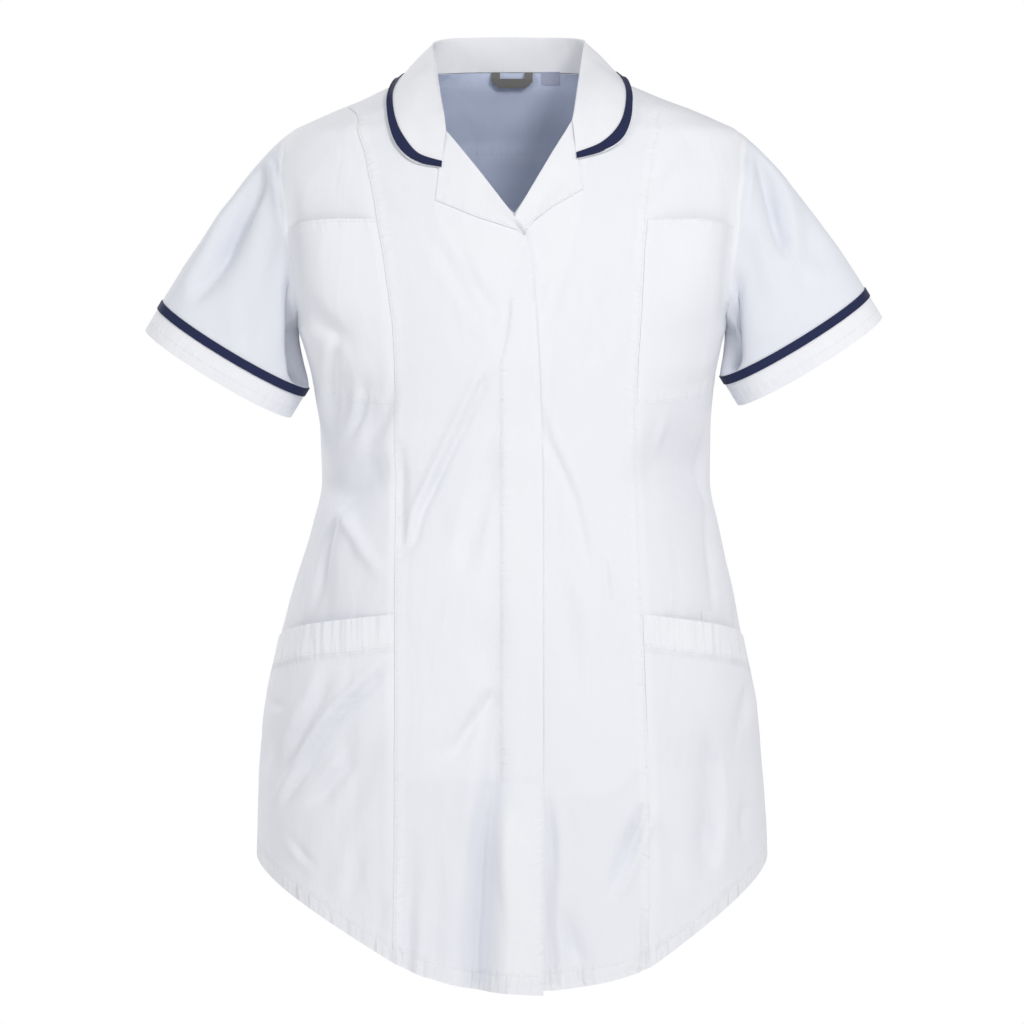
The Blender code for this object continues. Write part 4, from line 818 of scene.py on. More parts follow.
# Creases that the solids don't carry, written like the folds
FRONT_CREASES = (
    crease("right panel, long drag", 4, 0.6, (-15, -241, 0), (-29, -266, -2.2), (-41, -294, -2.7),
           (-52, -315, -2.9), (-66, -343, -3.1), (-77, -368, -2.5), (-84, -392, -1.8),
           (-94, -413, 0)),
    crease("right panel, shade by the placket", 8, 0.3, (-12, -300, 0), (-22, -339, -2.4),
           (-36, -396, -2.8), (-45, -431, 0)),
    crease("right panel, soft hollow", 12, 0, (-26, -440, 0), (-24, -486, -2.4), (-26, -524, 0)),
    crease("right panel, low drag", 5.5, 0.5, (-10, -523, 0), (-22, -535, -1.8), (-35, -555, -2.2),
           (-43, -571, -1.7), (-57, -590, 0)),
    crease("right panel, dark by the seam", 5, 0, (-100, -300, 0), (-97, -345, -2.6),
           (-96, -390, -2.2), (-99, -425, 0)),
    crease("beside the placket, upper", 6, 0, (-11, -250, 0), (-14, -330, -0.7), (-14, -440, -0.6),
           (-12, -520, 0)),
    crease("beside the placket, deep", 9, 0.35, (-11, -560, 0), (-14, -596, -2.5),
           (-19, -615, -3.6), (-22, -641, -4.7), (-24, -673, -5.3), (-27, -705, -5.7),
           (-30, -737, -5.7), (-31, -810, -5.1)),
    crease("soft side of that trough", 12, 0, (-30, -610, 0), (-38, -690, -3.0), (-43, -800, -3.4)),
    crease("flat band below the placket", 8, 0, (-6, -622, 0), (-5, -664, 3.6), (-5, -750, 3.6),
           (-5, -800, 3)),
    crease("right hem ripple", 8, 0.4, (-62, -660, 0), (-67, -725, -2.4), (-70, -795, -3.0)),
    crease("right hem, outer ripple", 7, 0.4, (-86, -640, 0), (-89, -710, -2.0), (-92, -780, -2.4)),
    crease("placket pucker", 2.4, 0.3, (-3, -174, 0), (-4, -200, -1.5), (-6, -214, -1.2),
           (-9, -238, 0)),
    crease("crease at the notch", 2.6, 0.3, (21, -196, 0), (27, -178, -1.2), (38, -168, 0)),
    crease("chest, drag to the placket", 7, 0.3, (-80, -120, 0), (-46, -168, -1.8), (-16, -222, 0)),
    crease("chest, second drag", 5, 0.3, (-52, -130, 0), (-30, -176, -1.4), (-12, -206, 0)),
    crease("right armpit drag", 8, 0.4, (-186, -172, 0), (-160, -206, -3.0), (-130, -232, 0)),
    crease("right underarm, outer", 4, 0.5, (-149, -208, 0), (-154, -240, -2.6), (-158, -271, -3.2),
           (-160, -312, 0)),
    crease("right underarm, middle", 4.5, 0.3, (-127, -242, 0), (-135, -286, -3.0),
           (-144, -314, 0)),
    crease("right underarm, inner", 6, 0, (-101, -250, 0), (-110, -286, -2.7), (-127, -320, 0)),
    crease("right waist shade", 13, 0, (-106, -318, 0), (-126, -338, -3.4), (-148, -352, -3),
           (-172, -350, 0)),
    crease("right waist, ridge", 5.5, 0, (-150, -366, 0), (-145, -378, 3.4), (-131, -402, 2.8),
           (-108, -436, 0)),
    crease("right waist, thin line", 3.2, 0.4, (-147, -370, 0), (-155, -385, -1.4),
           (-160, -402, -1.6), (-169, -434, -1.6), (-180, -480, 0)),
    crease("right side, fine streak", 3, 0.3, (-180, -404, 0), (-184, -434, -1.1), (-189, -480, 0)),
    crease("right pocket, long drag", 4, 0.7, (-104, -496, 0), (-122, -519, -2.8),
           (-144, -543, -4.0), (-159, -561, -4.0), (-176, -586, -3.4), (-189, -607, -2.4),
           (-205, -637, 0)),
    crease("right pocket, upper drag", 5, 0.4, (-150, -504, 0), (-165, -534, -2.8),
           (-183, -564, -2.6), (-196, -590, 0)),
    crease("right pocket, broad drag", 7, 0.3, (-136, -558, 0), (-147, -595, -3.4),
           (-162, -613, -3.2), (-179, -634, 0)),
    crease("right pocket, side crease", 4, 0, (-214, -528, 0), (-205, -540, -2.4), (-190, -544, 0)),
    crease("right hip, side hollow", 6, 0, (-216, -556, 0), (-217, -580, -2.4), (-218, -606, 0)),
    crease("right hem, soft crease", 6, 0.3, (-130, -652, 0), (-138, -689, -2.8), (-148, -716, 0)),
    crease("right hem, wedge", 3.4, 0.6, (-197, -648, 0), (-184, -668, -1.3), (-169, -685, 0)),
    crease("right hem, short crease", 4, 0.3, (-108, -688, 0), (-116, -722, -2.0), (-119, -748, 0)),
    crease("left panel, drag from the edge", 4, -0.5, (20, -266, 0), (33, -314, -1.5),
           (55, -362, -1.8), (62, -395, -1.3), (70, -428, 0)),
    crease("left panel, second drag", 3, -0.4, (78, -396, 0), (83, -430, -1.6), (87, -470, 0)),
    crease("left panel, broad drag", 10, -0.3, (36, -400, 0), (50, -470, -1.8), (58, -550, 0)),
    crease("left panel, hem trough", 5, -0.6, (115, -618, 0), (112, -638, -2.8), (106, -654, -3.4),
           (93, -686, -2.6), (83, -714, 0)),
    crease("left panel, by the seam", 4, 0.3, (117, -706, 0), (117, -745, -2.6), (115, -775, -2.4)),
    crease("left panel, middle hem trough", 6, -0.3, (43, -712, 0), (52, -747, -2.2),
           (62, -770, 0)),
    crease("left panel, trough by the edge", 5, -0.4, (31, -600, 0), (33, -650, -2.8),
           (34, -780, -2.6)),
    crease("left chest, fine drag", 6, -0.4, (46, -150, 0), (34, -190, -1.2), (22, -226, 0)),
    crease("left chest, long drag", 9, -0.3, (92, -150, 0), (76, -220, -1.6), (52, -270, 0)),
    crease("under the left chest pocket", 25, 0, (96, -326, 0), (130, -332, -4.6),
           (165, -336, -7.0), (196, -330, -5.0)),
    crease("light streak under that pocket", 5, 0, (134, -276, 0), (132, -300, 1.8),
           (128, -330, 0)),
    crease("left side streak", 3.2, -0.2, (173, -340, 0), (174.5, -380, -1.6), (176, -440, -1.7),
           (176, -474, 0)),
    crease("left side, short line", 2.6, 0, (193, -434, 0), (196, -462, -1.2), (196, -486, 0)),
    crease("left pocket, upper crease", 3, 0.3, (140, -448, 0), (137, -470, -1.0), (134, -492, 0)),
    crease("left pocket, outer crease", 6, -0.3, (201, -512, 0), (198, -545, -2.6), (193, -584, 0)),
    crease("left pocket, curved crease", 5, -0.3, (164, -560, 0), (174, -590, -2.4),
           (181, -640, 0)),
    crease("left pocket, upright", 7, -0.3, (177, -622, 0), (173, -655, -3.2), (169, -700, 0)),
    crease("left hip, side hollow", 4, 0, (203, -618, 0), (203, -640, -2.0), (203, -664, 0)),
    crease("left hem, soft crease", 6, -0.3, (128, -640, 0), (140, -668, -1.6), (146, -700, 0)),
    crease("right shoulder drag", 9, 0.3, (-150, -40, 0), (-128, -80, -1.1), (-96, -120, 0)),
    crease("left shoulder drag", 9, -0.3, (150, -36, 0), (130, -72, -1.1), (104, -110, 0)),
    crease("right armhole shade", 8, 0, (-196, -60, 0), (-192, -130, -2.2), (-184, -196, -2.4),
           (-180, -216, 0)),
    crease("left armhole shade", 8, 0, (196, -60, 0), (192, -130, -2.2), (184, -196, -2.4),
           (180, -216, 0)),
)
BACK_CREASES = (
    crease("right yoke drag", 8, 0.3, (-150, -70, 0), (-120, -110, -2), (-88, -140, 0)),
    crease("left yoke drag", 8, -0.3, (150, -70, 0), (122, -112, -2), (86, -146, 0)),
    crease("right blade crease", 8, 0.4, (-178, -200, 0), (-140, -240, -2.6), (-96, -262, 0)),
    crease("left blade crease", 8, -0.4, (178, -205, 0), (142, -250, -2.6), (100, -268, 0)),
    crease("right waist crease", 8, 0.4, (-150, -330, 0), (-96, -352, -2.6), (-44, -340, 0)),
    crease("left waist crease", 8, -0.4, (152, -336, 0), (98, -360, -2.6), (48, -344, 0)),
    crease("small of the back", 9, 0.3, (-40, -372, 0), (2, -384, -2.2), (46, -374, 0)),
    crease("right seat drag", 10, 0.3, (-120, -440, 0), (-104, -560, -2.4), (-118, -690, 0)),
    crease("left seat drag", 10, -0.3, (124, -450, 0), (116, -570, -2.4), (126, -700, 0)),
    crease("middle seat drag", 9, 0.4, (-34, -470, 0), (-28, -600, -2.6), (-32, -770, -3)),
    crease("left middle drag", 9, -0.4, (40, -520, 0), (46, -640, -2.4), (50, -770, -2.6)),
)
RIGHT_SLEEVE_CREASES = (
    crease("sleeve head crease", 3.4, 0, (-214, -56, 0), (-207, -69, -3.0), (-202, -104, -3.0),
           (-196, -128, 0)),
    crease("sleeve trough, deep", 8.5, 0.3, (-219, -62, 0), (-224.5, -74, -5.0), (-238, -104, -8.0),
           (-251, -136, -8.0), (-267, -165, -6.0), (-284, -194, 0)),
    crease("sleeve, broad hollow", 12, 0, (-212, -66, 0), (-213, -96, -3.0), (-212, -128, 0)),
    crease("beside the body", 6.5, 0, (-197, -150, 0), (-192, -196, -6.0), (-187, -240, -11.0),
           (-185, -268, -11.0)),
    crease("sleeve cuff drag", 7, 0.3, (-222, -184, 0), (-232, -214, -1.8), (-240, -240, 0)),
)
LEFT_SLEEVE_CREASES = (
    crease("sleeve head crease", 3.2, 0, (212, -44, 0), (207, -62, -3.0), (204, -88, -3.0),
           (197, -122, 0)),
    crease("sleeve trough, deep", 6.5, -0.2, (212, -46, 0), (224, -72, -4.4), (232, -98, -6.6),
           (239, -128, -5.6), (246, -154, 0)),
    crease("sleeve, broad hollow", 14, 0, (240, -104, 0), (264, -140, -3.2), (292, -168, 0)),
    crease("sleeve, soft hollow", 10, 0, (250, -150, 0), (256, -168, -1.8), (262, -190, 0)),
    crease("beside the body", 6.5, 0, (199, -150, 0), (195, -196, -6.0), (191, -234, -11.0),
           (188, -258, -11.0)),
)

# The flat cut of what shows of a piece, in metres and square metres, and what it hangs from; no piece
# here is given one
Cut = namedtuple("Cut", "width length area held on taped", defaults=((),))


def shader_node(tree, kind, links=(), values=(), **settings):
    """A node with its settings, with what feeds some of its sockets and the values of others."""
    node = tree.nodes.new("ShaderNode" + kind)
    for setting, value in settings.items():
        setattr(node, setting, value)
    for socket, value in dict(values).items():
        node.inputs[socket].default_value = value
    for socket, source in dict(links).items():
        tree.links.new(source, node.inputs[socket])
    return node


def noise_height(tree, place, scale, detail, distortion):
    values = {"Scale": scale, "Detail": detail, "Distortion": distortion}
    return shader_node(tree, "TexNoise", {"Vector": place}, values).outputs["Fac"]


def sum_of(tree, first, second, first_weight, second_weight):
    scaled = shader_node(tree, "Math", {0: first}, {1: first_weight}, operation="MULTIPLY")
    links = {0: second, 2: scaled.outputs[0]}
    return shader_node(tree, "Math", links, {1: second_weight}, operation="MULTIPLY_ADD").outputs[0]


def product_of(tree, first, second):
    return shader_node(tree, "Math", {0: first, 1: second}, operation="MULTIPLY").outputs[0]


def stretched(tree, place, across, along, up=1.0):
    values = {"Scale": (across, along, up)}
    return shader_node(tree, "Mapping", {"Vector": place}, values).outputs["Vector"]


def falloff(tree, distance, near, far):
    """1 on a line of stitches and 0 away from it."""
    size = shader_node(tree, "Math", {0: distance}, operation="ABSOLUTE")
    values = {"From Min": near, "From Max": far, "To Min": 1.0, "To Max": 0.0}
    ramp = shader_node(tree, "MapRange", {"Value": size.outputs[0]}, values,
                       interpolation_type="SMOOTHSTEP")
    return ramp.outputs["Result"]


def shader_group(name, inputs, outputs):
    group = bpy.data.node_groups.new(name, "ShaderNodeTree")
    for socket, kind, value in inputs:
        made = group.interface.new_socket(name=socket, in_out="INPUT", socket_type=kind)
        if value is not None:
            made.default_value = value
    for socket in outputs:
        group.interface.new_socket(name=socket, in_out="OUTPUT", socket_type="NodeSocketFloat")
    return group, group.nodes.new("NodeGroupInput").outputs, group.nodes.new("NodeGroupOutput")


def weave_group():
    """Plain weave from the cloth's own map, with the odd thicker thread."""
    group, given, result = shader_group(
        "plain weave", [("Map", "NodeSocketVector", None), ("Threads", "NodeSocketFloat", 2200.0)],
        ["Height"])
    waves = []
    for direction in ("X", "Y"):
        scaled = shader_node(group, "VectorMath", {0: given["Map"], "Scale": given["Threads"]},
                             operation="SCALE")
        wave = shader_node(group, "TexWave", {"Vector": scaled.outputs[0]},
                           {"Scale": 0.3, "Distortion": 0.6}, bands_direction=direction)
        waves.append(wave.outputs["Fac"])
    slubs = [noise_height(group, stretched(group, given["Map"], across, along), 1.0, 2.0, 0.0)
             for across, along in ((900.0, 60.0), (60.0, 900.0))]
    threads = sum_of(group, *waves, 0.35, 0.35)
    slubs = sum_of(group, *slubs, 0.5, 0.5)
    group.links.new(sum_of(group, threads, slubs, 0.4, 1.0), result.inputs["Height"])
    return group


def crumple_group():
    """Soft small creases that any worn cloth has, and finer ones in them."""
    group, given, result = shader_group(
        "soft crumple", [("Place", "NodeSocketVector", None)], ["Height", "Tint"])
    place = given["Place"]
    broad = noise_height(group, stretched(group, place, 24.0, 24.0, 8.0), 1.0, 2.0, 0.8)
    fine = noise_height(group, stretched(group, place, 70.0, 70.0, 30.0), 1.0, 2.0, 0.5)
    group.links.new(sum_of(group, broad, fine, 1.0, 0.14), result.inputs["Height"])
    group.links.new(noise_height(group, place, 9.0, 1.0, 0.0), result.inputs["Tint"])
    return group


def stitched_group():
    """Grooves along the stitch lines, and the puckers that they draw up on both sides. The Groove
    output is painted shade in the grooves, for the colour.
    """
    group, given, result = shader_group(
        "stitched lines", [("Map", "NodeSocketVector", None), ("Down line", "NodeSocketFloat", 1.0),
                           ("Cross line", "NodeSocketFloat", 1.0),
                           ("Gather", "NodeSocketFloat", 0.0)],
        ["Height", "Groove"])
    ribs = noise_height(group, stretched(group, given["Map"], 130.0, 14.0), 1.0, 1.0, 0.2)
    patches = noise_height(group, stretched(group, given["Map"], 16.0, 6.0), 1.0, 1.0, 0.0)
    ribs = product_of(group, product_of(group, ribs, patches), given["Gather"])
    parts = []
    grooves = []
    for socket, across, along in (("Down line", 25.0, 190.0), ("Cross line", 190.0, 25.0)):
        pucker = noise_height(group, stretched(group, given["Map"], across, along), 1.0, 1.0, 0.3)
        near = falloff(group, given[socket], 0.001, 0.013)
        parts.append(product_of(group, pucker, near))
        grooves.append(falloff(group, given[socket], 0.0001, 0.0009))
    groove = sum_of(group, *grooves, 1.0, 1.0)
    puckers = sum_of(group, sum_of(group, *parts, 1.0, 1.0), ribs, 1.0, 6.0)
    group.links.new(sum_of(group, puckers, groove, 1.0, -0.06), result.inputs["Height"])
    group.links.new(groove, result.inputs["Groove"])
    return group


def attribute(tree, name):
    return shader_node(tree, "Attribute", attribute_name=name).outputs["Fac"]


def raised(tree, height, distance, below=None):
    links = {"Height": height} if below is None else {"Height": height, "Normal": below}
    values = {"Strength": 1.0, "Distance": distance}
    return shader_node(tree, "Bump", links, values).outputs["Normal"]


def tinted(tree, share, colour, shade):
    values = {"A": (*colour, 1.0), "B": (*shade, 1.0)}
    return shader_node(tree, "Mix", {"Factor": share}, values, data_type="RGBA").outputs["Result"]


def surface(name, values):
    """A new material, its node tree and its surface shader, which has these values."""
    material = bpy.data.materials.new(name)
    material.use_nodes = True
    shader = material.node_tree.nodes["Principled BSDF"]
    for socket, value in values.items():
        shader.inputs[socket].default_value = value
    return material, material.node_tree, shader


def cloth_material(name, colour, shade, threads, crumple, pucker, roughness=0.82):
    """Cloth with its weave, its crumple, the marks of its stitch lines and painted shade in its stitch
    grooves.
    """
    material, tree, shader = surface(name, {"Roughness": roughness, "Sheen Weight": 0.12,
                                            "Specular IOR Level": 0.25})
    coordinates = shader_node(tree, "TexCoord").outputs
    weave = shader_node(tree, "Group", {"Map": coordinates["UV"]}, node_tree=groups["weave"])
    weave.inputs["Threads"].default_value = threads
    soft = shader_node(tree, "Group", {"Place": coordinates["Object"]}, node_tree=groups["crumple"])
    lines = {"Map": coordinates["UV"], "Down line": attribute(tree, "down_line"),
             "Cross line": attribute(tree, "cross_line"), "Gather": attribute(tree, "gather")}
    lines = shader_node(tree, "Group", lines, node_tree=groups["stitched"])
    normal = raised(tree, soft.outputs["Height"], crumple)
    normal = raised(tree, lines.outputs["Height"], pucker, normal)
    normal = raised(tree, weave.outputs["Height"], THREAD_HEIGHT, normal)
    tree.links.new(normal, shader.inputs["Normal"])
    # The colour darkens towards the shade colour with the crumple's random tone, and with painted
    # shade in the stitch grooves.
    share = sum_of(tree, soft.outputs["Tint"], lines.outputs["Groove"], 0.4, 0.06)
    # The single attribute darkens single layers of cloth, which give back less light; on the sleeves
    # and below the side fronts' chest pockets it is raised further as painted shade.
    share = sum_of(tree, share, attribute(tree, "single"), 1.0, SINGLE_LAYER_TINT)
    tree.links.new(tinted(tree, share, colour, shade), shader.inputs["Base Color"])
    return material


def thread_material(name, colour):
    """Twisted sewing thread."""
    material, tree, shader = surface(name, {"Roughness": 0.6})
    place = shader_node(tree, "TexCoord").outputs["Object"]
    twist = noise_height(tree, place, 1800.0, 1.0, 0.0)
    tree.links.new(raised(tree, twist, THREAD_HEIGHT), shader.inputs["Normal"])
    shade = [0.82 * part for part in colour]
    tree.links.new(tinted(tree, twist, colour, shade), shader.inputs["Base Color"])
    return material


def side_distances(cloth, side):
    """How far each place lies from one side of the cloth, along the cloth, in millimetres."""
    axis = 1 if side in ("start", "end") else 0
    steps = np.linalg.norm(np.diff(cloth.points, axis=axis), axis=-1)
    zero = np.zeros_like(np.take(steps, [0], axis=axis))
    lengths = np.concatenate((zero, np.cumsum(steps, axis=axis)), axis=axis)
    if side in ("end", "bottom"):
        lengths = np.take(lengths, [-1], axis=axis) - lengths
    return lengths


def nearest_line(cloth, seams, sides):
    """Signed distances, in metres, to the nearest stitch line that runs along these sides."""
    best = np.full(cloth.points.shape[:2], NO_LINE)
    for side, distance in seams:
        if side in sides:
            gap = (side_distances(cloth, side) - distance) * MM
            best = np.where(np.abs(gap) < np.abs(best), gap, best)
    return best


def hem_band(cloth, seams):
    """1 in the turned band of a hem, between its stitches and its edge, and 0 elsewhere."""
    band = np.zeros(cloth.points.shape[:2])
    for side, distance in seams:
        if side in ("top", "bottom") and np.max(distance) > HEM_FROM:
            gap = side_distances(cloth, side)
            band = np.maximum(band, smooth_step((distance + 6 - gap) / 8))
    return band


def single_layer(cloth, *bands):
    """1 where the cloth is one layer, and 0 on its turned bands, which reflect more light."""
    share = np.ones(cloth.points.shape[:2])
    for side, width in bands:
        share = share * smooth_step((side_distances(cloth, side) - width) / 2 + 0.5)
    return share


def beyond_facing(cloth, facing, sign):
    """1 on the side of the facing's edge where the front is one layer of cloth."""
    line = smooth_table([height for across, height in facing], [across for across, height in facing])
    return smooth_step(sign * (cloth.points[..., 0] - line(cloth.points[..., 2])) / 4 + 0.5)


def below_backing(cloth, edge):
    """More see-through at the chest and below the backing's lower edge than between them."""
    heights = np.interp(cloth.points[..., 0], *zip(*edge))
    below = smooth_step((heights - cloth.points[..., 2]) / 5 + 0.5)
    above = np.interp(cloth.points[..., 2], (-280, -180), (0.35, 0.7))
    return mix(above, 1.0, below)


def flush_sides(cloth, sides, width):
    """0 on these sides of the cloth, and 1 further than the width from them."""
    share = np.ones(cloth.points.shape[:2])
    for side in sides:
        share = share * smooth_step(side_distances(cloth, side) / width)
    return share


def line_along(cloth, side, distance):
    """The line on the cloth at a distance from one side, with the directions out of the cloth."""
    lengths = side_distances(cloth, side)
    points, normals = cloth.points, cloth.normals
    if side in ("top", "bottom"):
        lengths, points, normals = lengths.T, points.transpose(1, 0, 2), normals.transpose(1, 0, 2)
    if side in ("end", "bottom"):
        lengths, points, normals = lengths[:, ::-1], points[:, ::-1], normals[:, ::-1]
    distance = np.broadcast_to(distance, len(lengths))
    points, normals = (np.array([at_lengths(*line) for line in zip(distance, lengths, values)])
                       for values in (points, normals))
    return points, unit(normals)


def new_object(name, data):
    made = bpy.data.objects.new(name, data)
    bpy.context.scene.collection.objects.link(made)
    return made


def cloth_piece(name, node, cloth, thickness, material, slot, seams=(), tube=False, drop=(),
                layers=0.0, inner=None):
    """A thin shell of cloth with its outer face on the given places."""
    rows, columns = cloth.points.shape[:2]
    sheet = bmesh.new()
    bmesh.ops.create_grid(sheet, x_segments=columns - 1, y_segments=rows - 1, size=1)
    sheet.verts.ensure_lookup_table()
    uv = sheet.loops.layers.uv.new("cloth")
    marks = {"gather": hem_band(cloth, seams),
             "down_line": nearest_line(cloth, seams, ("start", "end")),
             "cross_line": nearest_line(cloth, seams, ("top", "bottom")),
             "single": np.broadcast_to(layers, (rows, columns))}
    for mark in marks:
        sheet.verts.layers.float.new(mark)
    kept = [(sheet.verts.layers.float[mark], values.ravel()) for mark, values in marks.items()]
    points = (cloth.points * MM).reshape(-1, 3)
    wide = (side_distances(cloth, "start") * MM).ravel()
    long = (side_distances(cloth, "top") * MM).ravel()
    for index, vert in enumerate(sheet.verts):
        vert.co = points[index]
        for mark, values in kept:
            vert[mark] = values[index]
        for loop in vert.link_loops:
            loop[uv].uv = (wide[index], long[index])
    if drop:
        sheet.faces.ensure_lookup_table()
        gone = [sheet.faces[row * (columns - 1) + column] for row, column in drop]
        bmesh.ops.delete(sheet, geom=gone, context="FACES")
    if tube:
        bmesh.ops.remove_doubles(sheet, verts=sheet.verts[:], dist=1e-6)
    sheet.normal_update()
    sheet.faces.ensure_lookup_table()
    middle = (rows - 1) // 2 * (columns - 1) + (columns - 1) // 4
    corner = (rows - 1) // 2 * columns + (columns - 1) // 4
    out = Vector(cloth.normals.reshape(-1, 3)[corner])
    if sheet.faces[min(middle, len(sheet.faces) - 1)].normal.dot(out) < 0:
        bmesh.ops.reverse_faces(sheet, faces=sheet.faces[:])
    for face in sheet.faces:
        face.smooth = True
    for edge in sheet.edges:
        edge.smooth = not edge.is_boundary
    mesh = bpy.data.meshes.new(name)
    sheet.to_mesh(mesh)
    sheet.free()
    mesh.materials.append(material)
    if inner:
        mesh.materials.append(inner)
    piece = new_object(name, mesh)
    shell = piece.modifiers.new("thickness", "SOLIDIFY")
    shell.thickness = thickness * MM
    shell.offset = -1.0
    shell.use_even_offset = False
    shell.material_offset = 1 if inner else 0
    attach(piece, "root")
    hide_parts(node)
    stitch_lines.extend(line_along(cloth, side, distance) for side, distance in seams)
    return piece


def stitches_piece(name, lines, material):
    """One thread stitch after another along each line, half sunk in the cloth."""
    shape = bmesh.new()
    bmesh.ops.create_icosphere(shape, subdivisions=1, radius=1.0)
    ball = np.array([vert.co for vert in shape.verts])
    faces = np.array([[vert.index for vert in face.verts] for face in shape.faces])
    shape.free()
    points = []
    for line, normals in lines:
        lengths = curve_lengths(line)
        count = int(lengths[-1] / STITCH_SPACING)
        if count < 1:
            continue
        places = (np.arange(count) + 0.5) * lengths[-1] / count
        behind, middle, ahead = (at_lengths(places + step, lengths, line) for step in (-1, 0, 1))
        out = unit(at_lengths(places, lengths, normals))
        along = unit(ahead - behind)
        aside = unit(np.cross(out, along))
        size_along, size_aside, size_out = STITCH_SIZE
        axes = np.stack((along * size_along, aside * size_aside, out * size_out), 1)
        points.append(middle[:, None] + np.einsum("vk,nkc->nvc", ball, axes))
    points = np.concatenate(points)
    mesh = bpy.data.meshes.new(name)
    faces = (faces[None] + (np.arange(len(points)) * len(ball))[:, None, None]).reshape(-1, 3)
    mesh.from_pydata((points.reshape(-1, 3) * MM).tolist(), [], faces.tolist())
    mesh.shade_smooth()
    mesh.materials.append(material)
    piece = new_object(name, mesh)
    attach(piece, "root")


groups = {"weave": weave_group(), "crumple": crumple_group(), "stitched": stitched_group()}
white = cloth_material("white poplin", (0.85, 0.867, 0.91), (0.75, 0.777, 0.855), 2200.0,
                       0.0025, 0.0011)
# Painted shade: the inside face of the back and the yoke gets a darker, bluer white, as the shaded
# inside of the neck.
painted_shade_inner_white = cloth_material("white poplin, inner side with painted shade", (0.63, 0.705, 0.9), (0.58, 0.655, 0.86),
                             2200.0, 0.0025, 0.0011)
navy = cloth_material("navy tape", (0.012, 0.018, 0.066), (0.022, 0.03, 0.09), 1800.0,
                      0.0004, 0.0003)
loop_tape = cloth_material("grey loop tape", (0.16, 0.16, 0.155), (0.2, 0.2, 0.2), 1500.0,
                           0.0002, 0.0003)
label_tape = cloth_material("pale label satin", (0.42, 0.46, 0.6), (0.5, 0.53, 0.66), 2600.0,
                            0.0002, 0.0003, roughness=0.5)
white_thread = thread_material("white thread", (0.88, 0.89, 0.93))
stitch_lines = []


def add(name, node, cloth, seams=(), thickness=THIN_CLOTH, material=white, slot="white_cloth",
        **more):
    cloth_piece(name, node, cloth, thickness, material, slot, seams, **more)


def lowered_at_seam(cloth, side):
    """A side front or its pocket, a little lower along the princess seam."""
    return lifted(cloth, -SEAM_STEP[side] * (1 - flush_sides(cloth, ("start",), 7)))


# The fronts, and the placket on the right one
fronts = {side: front_rows(side) for side in SIDES}
rows = finer_rows(fronts["right"][0])
right_front = panel_cloth(rows, right_front_shares(rows), LAP_FOLDS)
left_front = panel_cloth(finer_rows(fronts["left"][0]), even_shares(LEFT_FRONT_WIDTH))
left_front = lifted(left_front, under_lap(left_front))
for side, cloth, sign, facing, backing, edge_seams in (
        ("right", right_front, -1, RIGHT_FACING, RIGHT_BACKING, (("start", 1.5),)),
        ("left", left_front, 1, LEFT_FACING, LEFT_BACKING, ())):
    layers = single_layer(cloth, ("end", 9), ("bottom", 14)) * beyond_facing(cloth, facing, sign)
    hem = np.linspace(*FRONT_HEM, cloth.points.shape[1])
    add(side + "_front_cloth", "front_" + side, trimmed(cloth, ("top", "end"), HALF_GAP),
        (*edge_seams, ("end", 2.0), ("bottom", hem)), layers=layers * below_backing(cloth, backing))
first, last = (row_number(FRONT_ROWS, name) for name in PLACKET_ROWS)
rows = finer_rows(fronts["right"][0], first, last)
strip = panel_cloth(rows, right_front_shares(rows)[:, :PLACKET_FINE_COLUMNS + 1], LAP_FOLDS)
ends = flush_sides(strip, ("top",), 30) * flush_sides(strip, ("bottom",), 14)
ends *= flush_sides(strip, ("start", "end"), 4)
lift = mix(0.1, mix(FLUSH, PLACKET_LIFT, ends), flush_sides(strip, ("bottom",), 12))
strip = trimmed(lifted(strip, lift), ("start",), PLACKET_OFF_EDGE)
add("placket_strip", "placket", strip, (("end", 1.5),))

# The side fronts and their pockets, whose bottom edges sink into the side front
for side in SIDES:
    rows = fronts[side][1]
    cloth = lowered_at_seam(panel_cloth(finer_rows(rows), even_shares(SIDE_WIDTH)), side)
    # Painted shade: the side fronts' single-layer share rises to 1.3 between the heights -380 and
    # -200, below the chest pockets, beyond the thin cloth's own; towards the shoulders it falls to
    # 0.3.
    see_through_and_painted_shade = np.interp(cloth.points[..., 2], (-440, -380, -200, -120), (1.0, 1.3, 1.3, 0.3))
    add(side + "_side_front_cloth", "side_front_" + side,
        trimmed(cloth, ("top", "start", "end"), HALF_GAP), (("bottom", SIDE_HEM),),
        layers=single_layer(cloth, ("start", 6), ("bottom", 11)) * see_through_and_painted_shade)
    for name, mouth, bottom, gape, low_lift, sink, single, seams in (
            ("chest", "chest pocket mouth", "chest pocket bottom", CHEST_POCKET_GAPE, 0.3, 30, 0.4,
             CHEST_SEAMS[side]),
            ("hip", "hip pocket mouth", "placket bottom", HIP_POCKET_GAPE, -0.25, 70, 1.0,
             HIP_SEAMS)):
        first, last = row_number(FRONT_ROWS, mouth), row_number(FRONT_ROWS, bottom)
        shares = POCKET_REACH * even_shares(SIDE_WIDTH)
        pocket = panel_cloth(finer_rows(rows, first, last), shares)
        lines, columns = pocket.points.shape[:2]
        across = np.sin(math.pi * np.linspace(0, 1, columns))[None, :] ** GAPE_TO_THE_SIDES
        down = np.cos(math.pi / 2 * np.linspace(0, 1, lines))[:, None] ** GAPE_DOWNWARD
        stitched = flush_sides(pocket, ("start", "end"), 6)
        lift = mix(FLUSH, POCKET_CLOTH + SEAM_GAP, stitched) + gape * across * down
        pocket = lifted(pocket, mix(low_lift, lift, flush_sides(pocket, ("bottom",), sink)))
        pocket = trimmed(lowered_at_seam(pocket, side), ("start",), POCKET_OFF_PRINCESS)
        add(f"{side}_{name}_pocket_cloth", f"{name}_pocket_{side}", pocket, seams,
            layers=single * single_layer(pocket, ("top", seams[-1][1]), ("start", 6)))

